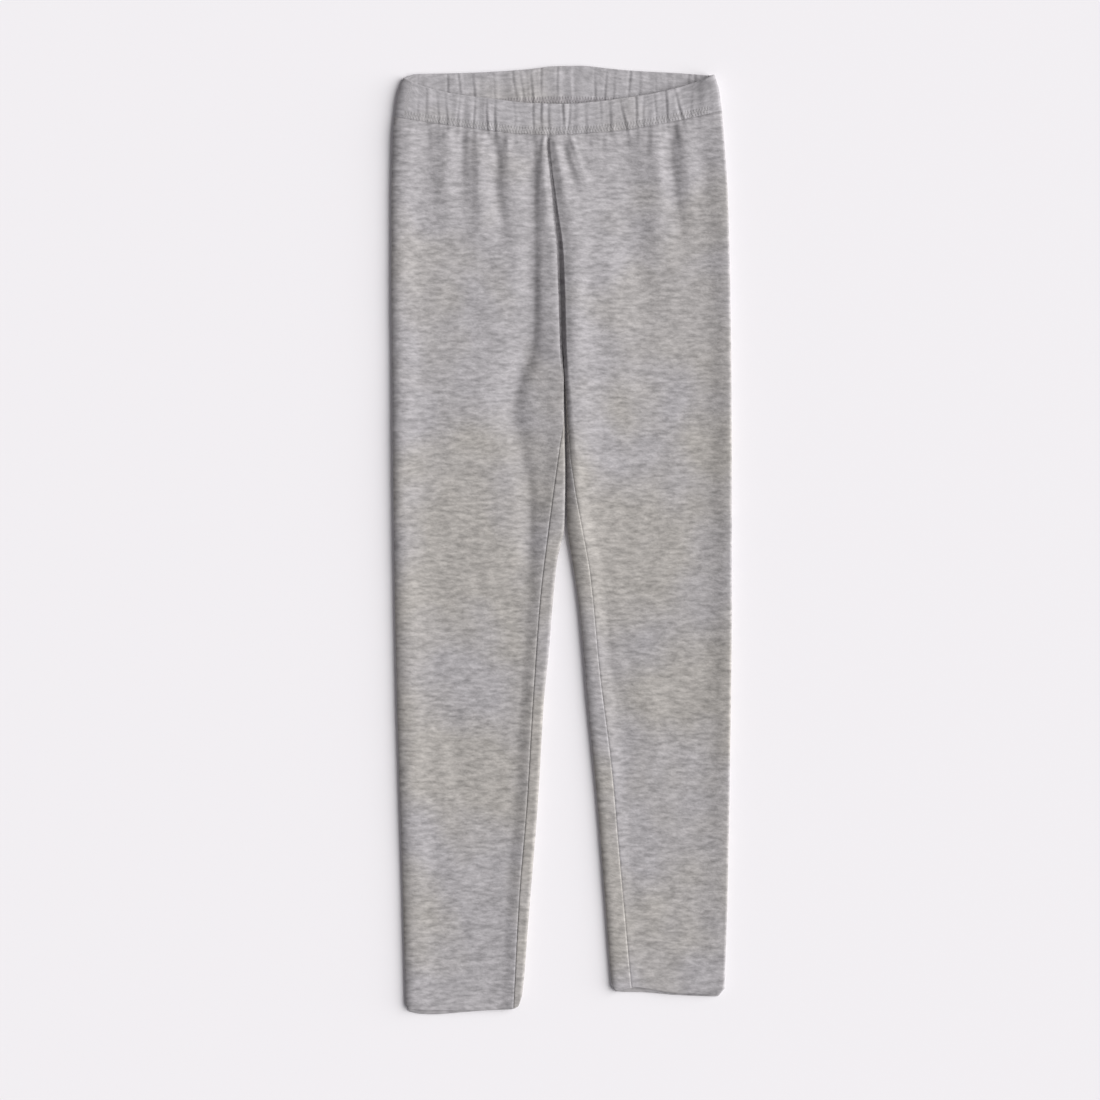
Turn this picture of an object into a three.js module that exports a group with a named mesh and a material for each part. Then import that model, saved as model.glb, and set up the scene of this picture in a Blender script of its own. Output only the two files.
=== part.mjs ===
// Child's grey jersey leggings, lying flat on their back with the front up.
// Two one-piece leg panels meet at the centre seams and close on themselves at the inseams,
// and a gathered elastic casing runs round the waist. Millimetres, +Z up, waist towards +Y.
import * as THREE from 'three';
import { mergeVertices } from 'three/addons/utils/BufferGeometryUtils.js';

// Cloth and construction
const CLOTH = 1.2;
const HEM_CLOTH = 1.9;
const HEM_DEPTH = 18;
const CASING_WALL = 2.4;
const SEAM_GAP = 0.3;

// Where the garment's main points lie along its length
const PANEL_TOP = 335;
const CROTCH = 130;
const TOP_FADE = 110;
const HEM_FADE = 45;

// Folds at the sides: how far in from the outline a layer turns over
const OUTER_TURN = 3.0;
const CASING_TURN = 3.6;

// Crotch point: over these lengths the front seam climbs and the back seam lifts to meet it
const FRONT_CLIMB = 30;
const BACK_LIFT = 8;
const CREASE_FLOOR = 2.9;

// Outlines seen from above
const OUTER_LEFT = [
  { y: 356, x: -133.2 }, { y: 332, x: -136.5 }, { y: 275, x: -137.7 }, { y: 194, x: -137.7 },
  { y: 113, x: -136.9 }, { y: 32, x: -136.1 }, { y: -49, x: -134.9 }, { y: -130, x: -133.2 },
  { y: -211, x: -130.8 }, { y: -292, x: -128.4 }, { y: -373, x: -126.4 }, { y: -392, x: -126.0 },
];
const OUTER_RIGHT = [
  { y: 356, x: 127.6 }, { y: 332, x: 130.8 }, { y: 275, x: 134.5 }, { y: 194, x: 136.5 },
  { y: 113, x: 137.4 }, { y: 32, x: 137.6 }, { y: -49, x: 137.6 }, { y: -130, x: 136.9 },
  { y: -211, x: 135.7 }, { y: -292, x: 134.1 }, { y: -356, x: 132.0 }, { y: -375, x: 131.4 },
];
const CENTRE_FRONT = [
  { y: 345, x: -10.3 }, { y: 327, x: -10.1 }, { y: 291, x: -6.9 }, { y: 270, x: -4.5 },
  { y: 235, x: -1.2 }, { y: 202, x: 1.0 }, { y: 160, x: 2.0 }, { y: 130, x: 3.0 },
];
const CENTRE_BACK = [
  { y: 365, x: 0.4 }, { y: 130, x: 3.0 },
];
const INNER_LEFT = [
  { y: 130, x: 2.8 }, { y: 113, x: 3.1 }, { y: 89, x: 3.8 }, { y: 51, x: 4.0 }, { y: 25, x: 3.6 },
  { y: 8, x: 2.6 }, { y: -4, x: -0.4 }, { y: -16, x: -3.4 }, { y: -49, x: -6.9 }, { y: -89, x: -10.1 },
  { y: -130, x: -14.2 }, { y: -211, x: -19.0 }, { y: -292, x: -25.5 }, { y: -373, x: -31.6 },
  { y: -392, x: -33.0 },
];
const INNER_RIGHT = [
  { y: 130, x: 3.2 }, { y: 113, x: 3.9 }, { y: 89, x: 4.7 }, { y: 51, x: 4.8 }, { y: 25, x: 4.6 },
  { y: 8, x: 4.9 }, { y: -16, x: 8.5 }, { y: -49, x: 13.4 }, { y: -89, x: 17.4 },
  { y: -130, x: 20.7 }, { y: -211, x: 28.8 }, { y: -292, x: 35.2 }, { y: -360, x: 40.1 },
  { y: -375, x: 41.2 },
];

// Inseams: from the crotch they climb over the inner fold and run down the front layer
const INSEAM_LEFT = [
  { y: 130, x: 2.8 }, { y: 112, x: 2.9 }, { y: 95, x: 2.0 }, { y: 77, x: -1.2 }, { y: 0, x: -11.7 },
  { y: -49, x: -17.4 }, { y: -130, x: -23.1 }, { y: -211, x: -27.9 }, { y: -292, x: -34.4 },
  { y: -385, x: -39.2 },
];
const INSEAM_RIGHT = [
  { y: 130, x: 3.2 }, { y: 112, x: 4.1 }, { y: 95, x: 4.9 }, { y: 74, x: 6.1 }, { y: 40, x: 11.0 },
  { y: 10, x: 16.6 }, { y: -27, x: 23.1 }, { y: -109, x: 31.2 }, { y: -187, x: 40.9 },
  { y: -252, x: 46.6 }, { y: -370, x: 57.2 },
];

// Waist: top edges of the front and back, and the seam under the casing on each
const WAIST_FRONT = [
  { x: -128.4, y: 373.8 }, { x: -109.8, y: 366.1 }, { x: -85.5, y: 360.5 }, { x: -57.9, y: 357.0 },
  { x: -26.3, y: 353.4 }, { x: 2.0, y: 352.7 }, { x: 29.6, y: 354.6 }, { x: 53.9, y: 358.0 },
  { x: 75.7, y: 361.5 }, { x: 94.4, y: 366.1 }, { x: 113.0, y: 371.6 }, { x: 123.5, y: 375.8 },
];
const WAIST_BACK = [
  { x: -128.4, y: 373.8 }, { x: -119.0, y: 377.0 }, { x: -82.2, y: 377.9 }, { x: -53.9, y: 379.1 },
  { x: -26.3, y: 381.1 }, { x: -3.6, y: 383.6 }, { x: 16.6, y: 383.8 }, { x: 39.3, y: 381.5 },
  { x: 57.1, y: 379.9 }, { x: 94.4, y: 377.9 }, { x: 123.5, y: 375.8 },
];
const CASING_FRONT = [
  { x: -135.3, y: 341.8 }, { x: -100.8, y: 336.2 }, { x: -59.5, y: 330.9 }, { x: -35.2, y: 328.1 },
  { x: -9.3, y: 327.2 }, { x: 20.7, y: 328.5 }, { x: 53.9, y: 331.6 }, { x: 85.5, y: 337.2 },
  { x: 129.6, y: 346.5 },
];
const CASING_BACK = [
  { x: -135.3, y: 341.8 }, { x: -110, y: 346.6 }, { x: -60, y: 350.4 }, { x: 5, y: 352.6 },
  { x: 60, y: 351.0 }, { x: 110, y: 348.8 }, { x: 129.6, y: 346.5 },
];
const CASING_LEFT_EDGE = [
  { level: 0, x: -135.3 }, { level: 0.55, x: -133.0 }, { level: 1, x: -128.4 },
];
const CASING_RIGHT_EDGE = [
  { level: 0, x: 129.6 }, { level: 0.55, x: 127.4 }, { level: 1, x: 123.5 },
];

// Hems: the back layer shows a few millimetres below the front
const HEM_LEFT_FRONT = [
  { x: -126.2, y: -373.5 }, { x: -121.0, y: -378.6 }, { x: -104.0, y: -380.4 }, { x: -82.0, y: -380.7 },
  { x: -61.0, y: -380.2 }, { x: -41.0, y: -379.4 }, { x: -35.0, y: -377.0 }, { x: -32.2, y: -369.5 },
];
const HEM_LEFT_BACK = [
  { x: -126.2, y: -375.5 }, { x: -119.5, y: -382.4 }, { x: -104.0, y: -384.0 }, { x: -82.0, y: -382.4 },
  { x: -61.0, y: -380.8 }, { x: -41.0, y: -379.8 }, { x: -35.0, y: -377.4 }, { x: -32.2, y: -369.5 },
];
const HEM_RIGHT_FRONT = [
  { x: 40.6, y: -360.5 }, { x: 44.0, y: -364.6 }, { x: 52.0, y: -363.0 }, { x: 60.5, y: -361.8 },
  { x: 75.0, y: -364.0 }, { x: 95.0, y: -366.8 }, { x: 126.0, y: -367.4 }, { x: 131.8, y: -363.0 },
];
const HEM_RIGHT_BACK = [
  { x: 40.6, y: -361.5 }, { x: 44.5, y: -365.7 }, { x: 60.5, y: -365.8 }, { x: 95.0, y: -368.4 },
  { x: 126.0, y: -369.4 }, { x: 131.8, y: -364.0 },
];

// Height of the laid legs: in the middle of a leg, and along its inner side where cloth bunches up
const LEG_HEIGHT = [
  { y: 345, flat: 6.6, inner: 6.9 }, { y: 300, flat: 5.6, inner: 7.2 }, { y: 240, flat: 5.0, inner: 8.0 },
  { y: 130, flat: 4.8, inner: 8.4 }, { y: 60, flat: 4.8, inner: 7.6 }, { y: 0, flat: 4.8, inner: 6.2 },
  { y: -80, flat: 4.7, inner: 5.2 }, { y: -385, flat: 4.6, inner: 4.9 },
];
const INNER_SPREAD = 30;
const EDGE_BEAD = { height: 0.7, inset: 6, spread: 5 };

// The crease along the centre front: its depth, and its half width on each side of the seam
const CENTRE_CREASE = [
  { y: 345, depth: 0.3, left: 2.0, right: 3.0 }, { y: 320, depth: 0.8, left: 2.2, right: 4.0 },
  { y: 290, depth: 1.8, left: 2.0, right: 5.0 }, { y: 250, depth: 3.2, left: 2.0, right: 5.5 },
  { y: 215, depth: 4.6, left: 2.2, right: 4.4 }, { y: 185, depth: 5.2, left: 2.4, right: 3.0 },
  { y: 130, depth: 5.5, left: 2.0, right: 2.2 },
];
const CREASE_POWER = 2.4;

// How far in the inner fold of each leg turns over, below the crotch
const INNER_TURN = [
  { y: 130, left: 2.6, right: 2.8 }, { y: 75, left: 4.0, right: 4.5 }, { y: 40, left: 5.0, right: 7.6 },
  { y: -10, left: 4.4, right: 6.2 }, { y: -60, left: 3.2, right: 3.6 }, { y: -385, left: 3.0, right: 3.0 },
];

// Soft folds of the front: a trough has a negative height
const FOLDS = [
  { x1: -101, y1: 338, x2: -101, y2: 250, width: 7, height: -0.9 },
  { x1: -89, y1: 336, x2: -90, y2: 262, width: 6, height: 0.7 },
  { x1: -71, y1: 334, x2: -76, y2: 246, width: 5.5, height: -1.3 },
  { x1: -62, y1: 334, x2: -56, y2: 262, width: 5.5, height: 0.9 },
  { x1: -52, y1: 333, x2: -44, y2: 232, width: 6, height: -1.1 },
  { x1: -36, y1: 330, x2: -34, y2: 258, width: 7, height: 0.7 },
  { x1: -19, y1: 330, x2: -20, y2: 240, width: 4.5, height: -1.6 },
  { x1: -20, y1: 250, x2: -20, y2: 150, width: 4.5, height: -1.1 },
  { x1: -20, y1: 168, x2: -34, y2: 100, width: 7, height: -1.7 },
  { x1: -34, y1: 112, x2: -23, y2: 60, width: 6, height: -0.9 },
  { x1: -23, y1: 72, x2: -21, y2: -10, width: 5.5, height: -1.3 },
  { x1: 2, y1: 326, x2: 20, y2: 274, width: 4.5, height: -1.7 },
  { x1: 18, y1: 330, x2: 38, y2: 236, width: 9, height: 0.7 },
  { x1: 38, y1: 334, x2: 40, y2: 268, width: 5.5, height: -0.9 },
  { x1: 51, y1: 334, x2: 52, y2: 256, width: 7, height: 0.5 },
  { x1: 72, y1: 338, x2: 69, y2: 214, width: 8, height: -1.1 },
  { x1: 82, y1: 340, x2: 86, y2: 256, width: 6, height: 0.7 },
  { x1: 92, y1: 342, x2: 106, y2: 258, width: 6, height: -1.7 },
  { x1: 119, y1: 346, x2: 122, y2: 270, width: 7, height: 0.5 },
];
const FOLD_FADE = 0.32;

// Gathers of the casing: where each starts and ends, and how deep it is pulled in
const FRONT_GATHERS = [
  { top: -116, foot: -116, depth: 0.3 }, { top: -110, foot: -109, depth: 0.4 },
  { top: -101, foot: -100, depth: 0.6 }, { top: -94, foot: -93, depth: 0.7 },
  { top: -83, foot: -84, depth: 0.7 }, { top: -71, foot: -71, depth: 0.8 },
  { top: -61, foot: -60, depth: 1.2 }, { top: -54, foot: -54, depth: 1.1 },
  { top: -39, foot: -38, depth: 0.3 }, { top: -23, foot: -23, depth: 0.7 },
  { top: -17, foot: -16, depth: 1.1 }, { top: -11, foot: -10, depth: 0.6 },
  { top: 1, foot: 1, depth: 1.2 }, { top: 6, foot: 5, depth: 0.8 }, { top: 19, foot: 19, depth: 0.4 },
  { top: 31, foot: 31, depth: 0.4 }, { top: 39, foot: 39, depth: 0.7 }, { top: 47, foot: 52, depth: 1.1 },
  { top: 59, foot: 61, depth: 0.9 }, { top: 66, foot: 66, depth: 0.6 }, { top: 75, foot: 76, depth: 0.6 },
  { top: 83, foot: 86, depth: 1.1 }, { top: 90, foot: 98, depth: 1.2 }, { top: 104, foot: 105, depth: 0.4 },
];
const BACK_GATHERS = [
  { top: -117, foot: -116, depth: 0.5 }, { top: -93, foot: -91, depth: 0.7 },
  { top: -84, foot: -82, depth: 0.9 }, { top: -73, foot: -70, depth: 1.0 },
  { top: -56, foot: -53, depth: 0.4 }, { top: -40, foot: -36, depth: 0.7 },
  { top: -34, foot: -31, depth: 0.8 }, { top: -25, foot: -24, depth: 1.0 },
  { top: -17, foot: -16, depth: 0.7 }, { top: -4, foot: -3, depth: 0.6 }, { top: 9, foot: 8, depth: 0.5 },
  { top: 27, foot: 26, depth: 0.6 }, { top: 36, foot: 35, depth: 0.7 }, { top: 42, foot: 42, depth: 0.4 },
  { top: 55, foot: 54, depth: 0.9 }, { top: 63, foot: 62, depth: 0.6 }, { top: 76, foot: 76, depth: 0.3 },
  { top: 92, foot: 92, depth: 0.5 }, { top: 103, foot: 101, depth: 0.6 },
];
const GATHER_HALF_WIDTH = 1.7;
const PUFF = 0.25;
const GATHER_EASE_AT_TOP = 0.35;
const ROLLED_EDGE = [
  { level: 0.985, inside: 0.15 }, { level: 1, inside: 0.5 }, { level: 0.985, inside: 0.85 },
];
const CASING_HEIGHT = [
  { level: 0, z: 7.2 }, { level: 0.5, z: 7.4 }, { level: 1, z: 6.8 },
];

// How finely the surfaces are divided
const PANEL_COLUMNS = { lead: 5, front: 16, outerFold: 5, backEdge: 3, back: 5, innerFold: 6 };
const LEAD = { beyondTurn: 4, shortest: 6 };
const BACK_EDGE = 9;
const PANEL_ROWS = [
  { from: PANEL_TOP, to: 215, count: 10 }, { from: 215, to: 160, count: 3 },
  { from: 160, to: 138, count: 2 }, { from: 138, to: 130, count: 1 }, { from: 130, to: 95, count: 3 },
  { from: 95, to: -25, count: 7 },
];
const LOWER_ROW_STEP = 38;
const HEM_STEP = 3;
const PATH_STEPS = 24;
const CASING_LEVELS = [0, 0.5, 0.95];
const CASING_FOLD_COLUMNS = 8;
const CASING_COLUMN_GAP = 6;
const NARROWEST_COLUMN = 0.6;

const COLOURS = { panel: 0xaeacae, casing: 0xb3b0b1 };

const clamp01 = (value) => Math.min(1, Math.max(0, value));
const mix = (from, to, share) => from + (to - from) * share;
const smooth = (value) => {
  const t = clamp01(value);
  return t * t * (3 - 2 * t);
};

// Smooth curve through a table's rows, from one named column to another, with no overshoot
function curve(rows, from, to) {
  const sorted = [...rows].sort((a, b) => a[from] - b[from]);
  const at = sorted.map((row) => row[from]);
  const value = sorted.map((row) => row[to]);
  const step = at.slice(1).map((a, i) => (value[i + 1] - value[i]) / (a - at[i]));
  const slope = value.map((_, i) => {
    if (i === 0) return step[0];
    if (i === step.length) return step[i - 1];
    const product = step[i - 1] * step[i];
    return product <= 0 ? 0 : (2 * product) / (step[i - 1] + step[i]);
  });
  return (x) => {
    if (x <= at[0]) return value[0];
    const last = at.length - 1;
    if (x >= at[last]) return value[last];
    let i = 0;
    while (x > at[i + 1]) i += 1;
    const width = at[i + 1] - at[i];
    const t = (x - at[i]) / width;
    const rise = value[i + 1] - value[i];
    const a = slope[i] * width - rise;
    const b = rise - slope[i + 1] * width;
    return value[i] + t * rise + t * (1 - t) * (a * (1 - t) + b * t);
  };
}

// Point part of the way from one path point to the next
const between = (a, b, t) => ({
  out: mix(a.out, b.out, t),
  z: mix(a.z, b.z, t),
  front: mix(a.front, b.front, t),
  faceOut: mix(a.faceOut, b.faceOut, t),
  faceUp: mix(a.faceUp, b.faceUp, t),
});

// Adds to each point of a path the direction in which the cloth's right side faces
function withFacing(path) {
  return path.map((point, i) => {
    const before = path[Math.max(i - 1, 0)];
    const after = path[Math.min(i + 1, path.length - 1)];
    const length = Math.hypot(after.out - before.out, after.z - before.z);
    return { ...point, faceOut: (before.z - after.z) / length, faceUp: (after.out - before.out) / length };
  });
}

// Equally spaced points along a path, with both ends kept
function resample(path, count) {
  const length = [0];
  for (let i = 1; i < path.length; i += 1) {
    length.push(length[i - 1] + Math.hypot(path[i].out - path[i - 1].out, path[i].z - path[i - 1].z));
  }
  const total = length[length.length - 1];
  const points = [];
  let segment = 0;
  for (let i = 0; i < count; i += 1) {
    const target = (total * i) / (count - 1);
    while (segment < path.length - 2 && length[segment + 1] < target) segment += 1;
    const span = length[segment + 1] - length[segment];
    const t = span > 0 ? clamp01((target - length[segment]) / span) : 0;
    points.push(between(path[segment], path[segment + 1], t));
  }
  return points;
}

// Height that one soft fold adds at a point of the front layer
function foldHeight(fold, x, y) {
  const dx = fold.x2 - fold.x1;
  const dy = fold.y2 - fold.y1;
  const along = ((x - fold.x1) * dx + (y - fold.y1) * dy) / (dx * dx + dy * dy);
  if (along <= 0 || along >= 1) return 0;
  const aside = Math.hypot(x - fold.x1 - along * dx, y - fold.y1 - along * dy) / fold.width;
  const ends = smooth(along / FOLD_FADE) * smooth((1 - along) / FOLD_FADE);
  return fold.height * Math.exp(-aside * aside) * ends;
}

const centreFront = curve(CENTRE_FRONT, 'y', 'x');
const centreBack = curve(CENTRE_BACK, 'y', 'x');
const flatHeight = curve(LEG_HEIGHT, 'y', 'flat');
const innerHeight = curve(LEG_HEIGHT, 'y', 'inner');
const creaseDepth = curve(CENTRE_CREASE, 'y', 'depth');
const casingFront = curve(CASING_FRONT, 'x', 'y');
const casingBack = curve(CASING_BACK, 'x', 'y');

// One leg: its outlines as functions, measured outwards from the middle of the garment
function legShape({ side, outer, inner, inseam, hemFront, hemBack, hemLevel, column }) {
  const outward = (rows) => {
    const x = curve(rows, 'y', 'x');
    return (y) => side * x(y);
  };
  return {
    side,
    hemLevel,
    outer: outward(outer),
    inner: outward(inner),
    inseam: outward(inseam),
    hemFront: curve(hemFront, 'x', 'y'),
    hemBack: curve(hemBack, 'x', 'y'),
    creaseWidth: curve(CENTRE_CREASE, 'y', column),
    innerTurn: curve(INNER_TURN, 'y', column),
  };
}

// The leg's inner limit on the front layer: the centre seam, or the inner fold below the crotch
function innerLimit(leg, y) {
  if (y < CROTCH) return leg.inner(y);
  return leg.side * centreFront(y) + SEAM_GAP / 2;
}

// Where a point of the garment lies along the length, once the shaped waist and hem are blended in
function lengthwise(leg, x, front, y) {
  const topShape = mix(casingBack(x), casingFront(x), front) - SEAM_GAP - PANEL_TOP;
  const hemShape = mix(leg.hemBack(x), leg.hemFront(x), front) - leg.hemLevel;
  const nearTop = clamp01(1 - (PANEL_TOP - y) / TOP_FADE);
  const nearHem = clamp01(1 - (y - leg.hemLevel) / HEM_FADE);
  return y + topShape * nearTop * nearTop + hemShape * nearHem * nearHem;
}

// Height of the front layer's face, without the crease or the turned edges
function faceHeight(leg, out, level) {
  const x = leg.side * out;
  const y = lengthwise(leg, x, 1, level);
  const fromInner = (out - innerLimit(leg, level)) / INNER_SPREAD;
  const fromOuter = (leg.outer(level) - out - EDGE_BEAD.inset) / EDGE_BEAD.spread;
  const bunch = (innerHeight(y) - flatHeight(y)) * Math.exp(-fromInner * fromInner);
  const bead = EDGE_BEAD.height * Math.exp(-fromOuter * fromOuter);
  const folds = FOLDS.reduce((sum, fold) => sum + foldHeight(fold, x, y), 0);
  return flatHeight(y) + bunch + bead + folds;
}

// How much of the inner fold's round shape a section has: none up the front, all below the crotch
const roundness = (y) => smooth(1 - (y - CROTCH) / FRONT_CLIMB);

// Height of the front layer near its inner side: down into the crease, or round the inner fold
function frontHeight(leg, out, level) {
  const top = faceHeight(leg, out, level);
  const inward = Math.max(0, out - innerLimit(leg, level));
  const turn = leg.innerTurn(Math.min(level, CROTCH));
  const cut = clamp01((turn - inward) / turn);
  const round = top / 2 + (top / 2) * Math.sqrt(1 - cut * cut);
  if (level < CROTCH) return round;
  const groove = Math.exp(-((inward / leg.creaseWidth(level)) ** CREASE_POWER));
  const depth = Math.min(creaseDepth(level), top - CREASE_FLOOR);
  return mix(top - depth * groove, round, roundness(level));
}

// Closed or open section through a leg: seam edge, front, side fold, back, and up to the other edge
function legSection(leg, level) {
  const limit = innerLimit(leg, level);
  const foldStart = leg.outer(level) - OUTER_TURN;
  const below = level < CROTCH;
  const turn = leg.innerTurn(Math.min(level, CROTCH));
  const seam = below ? Math.max(limit, leg.inseam(level)) : limit;
  const seamTrim = below ? SEAM_GAP / 2 : (SEAM_GAP / 2) * roundness(level);
  const leadEnd = Math.max(limit + turn + LEAD.beyondTurn, seam + LEAD.shortest);

  const onFront = (out) => ({ out, z: frontHeight(leg, out, level), front: 1 });
  const alongFront = (from, to, ease) => Array.from({ length: PATH_STEPS + 1 }, (_, i) => {
    const t = i / PATH_STEPS;
    return onFront(mix(from, to, ease ? t * t : t));
  });
  const lead = trimStart(alongFront(seam, leadEnd, true), seamTrim);
  const front = alongFront(leadEnd, foldStart, false);

  const foldTop = frontHeight(leg, foldStart, level);
  const outerFold = Array.from({ length: PATH_STEPS + 1 }, (_, i) => {
    const angle = (Math.PI * i) / PATH_STEPS;
    const front = (1 + Math.cos(angle)) / 2;
    return { out: foldStart + OUTER_TURN * Math.sin(angle), z: foldTop * front, front };
  });

  const lift = below ? 1 : smooth(1 - (level - CROTCH) / BACK_LIFT);
  const backLimit = below ? limit : mix(leg.side * centreBack(level) + SEAM_GAP / 2, limit, lift);
  const tip = frontHeight(leg, limit, level);
  const underside = Array.from({ length: PATH_STEPS + 1 }, (_, i) => {
    const angle = (Math.PI / 2) * (i / PATH_STEPS);
    const rise = lift * (1 - Math.cos(angle));
    return { out: backLimit + turn * (1 - Math.sin(angle)), z: tip * rise, front: rise / 2 };
  });
  const edgeEnd = { out: foldStart - BACK_EDGE, z: 0, front: 0 };
  const backEdge = [{ out: foldStart, z: 0, front: 0 }, edgeEnd];
  const back = [edgeEnd, underside[0]];
  const overTop = below && seam > limit
    ? alongFront(limit, seam, true).map((point, i) => ({ ...point, front: mix(0.5, 1, i / PATH_STEPS) }))
    : [];
  const innerFold = trimStart([...underside, ...overTop.slice(1)].reverse(), seamTrim).reverse();

  const parts = { lead, front, outerFold, backEdge, back, innerFold };
  const path = withFacing(Object.values(parts).flatMap((part, i) => (i === 0 ? part : part.slice(1))));
  let first = 0;
  return Object.entries(parts).flatMap(([part, points]) => {
    const last = first + points.length - 1;
    const samples = resample(path.slice(first, last + 1), PANEL_COLUMNS[part]);
    const joined = first > 0;
    first = last;
    return joined ? samples.slice(1) : samples;
  });
}

// Shortens a path by a small length at its first point
function trimStart(path, length) {
  let left = length;
  const points = [...path];
  while (left > 0 && points.length > 2) {
    const span = Math.hypot(points[1].out - points[0].out, points[1].z - points[0].z);
    if (span > left) {
      points[0] = between(points[0], points[1], left / span);
      return points;
    }
    points.shift();
    left -= span;
  }
  return points;
}

function rowLevels(leg) {
  const levels = [PANEL_TOP];
  PANEL_ROWS.forEach(({ from, to, count }) => {
    for (let i = 1; i <= count; i += 1) levels.push(mix(from, to, i / count));
  });
  const start = levels[levels.length - 1];
  const hemStart = leg.hemLevel + HEM_DEPTH;
  const count = Math.round((start - hemStart) / LOWER_ROW_STEP);
  for (let i = 1; i <= count; i += 1) levels.push(mix(start, hemStart, i / count));
  levels.push(hemStart - HEM_STEP, hemStart - HEM_DEPTH / 2, leg.hemLevel);
  return levels;
}

// Closed solid between two grids of points of the same size, open grids with a rim round all four sides
function solidBetween(outerGrid, innerGrid, flip) {
  const rows = outerGrid.length;
  const columns = outerGrid[0].length;
  const positions = [...outerGrid.flat(), ...innerGrid.flat()].flatMap((p) => [p.x, p.y, p.z]);
  const faces = [];
  const outerAt = (r, c) => r * columns + c;
  const innerAt = (r, c) => rows * columns + r * columns + c;
  const quad = (a, b, c, d) => faces.push(...(flip ? [a, c, b, a, d, c] : [a, b, c, a, c, d]));
  for (let r = 0; r < rows - 1; r += 1) {
    for (let c = 0; c < columns - 1; c += 1) {
      quad(outerAt(r, c), outerAt(r, c + 1), outerAt(r + 1, c + 1), outerAt(r + 1, c));
      quad(innerAt(r, c), innerAt(r + 1, c), innerAt(r + 1, c + 1), innerAt(r, c + 1));
    }
    quad(outerAt(r, 0), outerAt(r + 1, 0), innerAt(r + 1, 0), innerAt(r, 0));
    const end = columns - 1;
    quad(outerAt(r, end), innerAt(r, end), innerAt(r + 1, end), outerAt(r + 1, end));
  }
  for (let c = 0; c < columns - 1; c += 1) {
    quad(outerAt(0, c), innerAt(0, c), innerAt(0, c + 1), outerAt(0, c + 1));
    const end = rows - 1;
    quad(outerAt(end, c), outerAt(end, c + 1), innerAt(end, c + 1), innerAt(end, c));
  }
  return closedGeometry(positions, faces);
}

function closedGeometry(positions, faces) {
  const geometry = new THREE.BufferGeometry();
  geometry.setAttribute('position', new THREE.Float32BufferAttribute(positions, 3));
  geometry.setIndex(faces);
  return mergeVertices(geometry, 1e-4);
}

function clothMesh(name, geometry, colour) {
  geometry.computeVertexNormals();
  const material = new THREE.MeshStandardMaterial({ color: colour, roughness: 0.92, metalness: 0 });
  const mesh = new THREE.Mesh(geometry, material);
  mesh.name = name;
  return mesh;
}

// A leg panel: one piece of cloth, its right side given by the sections and its wrong side one wall in
function legPanel(name, leg) {
  const rightSide = [];
  const wrongSide = [];
  rowLevels(leg).forEach((level) => {
    const wall = level < leg.hemLevel + HEM_DEPTH ? HEM_CLOTH : CLOTH;
    const section = legSection(leg, level);
    const place = (point, depth) => {
      const x = leg.side * point.out;
      const y = lengthwise(leg, x, point.front, level);
      return new THREE.Vector3(x - depth * leg.side * point.faceOut, y, point.z - depth * point.faceUp);
    };
    rightSide.push(section.map((point) => place(point, 0)));
    wrongSide.push(section.map((point) => place(point, wall)));
  });
  return clothMesh(name, solidBetween(rightSide, wrongSide, leg.side > 0), COLOURS.panel);
}

// Columns round half of the casing: three at each gather, and more where gathers are far apart
function gatherColumns(gathers, start, end) {
  const columns = [];
  const sorted = [...gathers].sort((a, b) => a.top - b.top);
  const push = (top, foot, depth) => {
    const last = columns[columns.length - 1];
    if (last && Math.min(top - last.top, foot - last.foot) < NARROWEST_COLUMN) return;
    columns.push({ top, foot, depth });
  };
  const fill = (to) => {
    const last = columns[columns.length - 1];
    const parts = Math.floor(Math.min(to.top - last.top, to.foot - last.foot) / CASING_COLUMN_GAP);
    for (let i = 1; i < parts; i += 1) {
      push(mix(last.top, to.top, i / parts), mix(last.foot, to.foot, i / parts), -PUFF);
    }
  };
  columns.push({ top: start.top, foot: start.foot, depth: 0 });
  sorted.forEach(({ top, foot, depth }) => {
    fill({ top: top - GATHER_HALF_WIDTH, foot: foot - GATHER_HALF_WIDTH });
    push(top - GATHER_HALF_WIDTH, foot - GATHER_HALF_WIDTH, 0);
    push(top, foot, depth);
    push(top + GATHER_HALF_WIDTH, foot + GATHER_HALF_WIDTH, 0);
  });
  fill(end);
  push(end.top, end.foot, 0);
  return columns;
}

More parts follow.
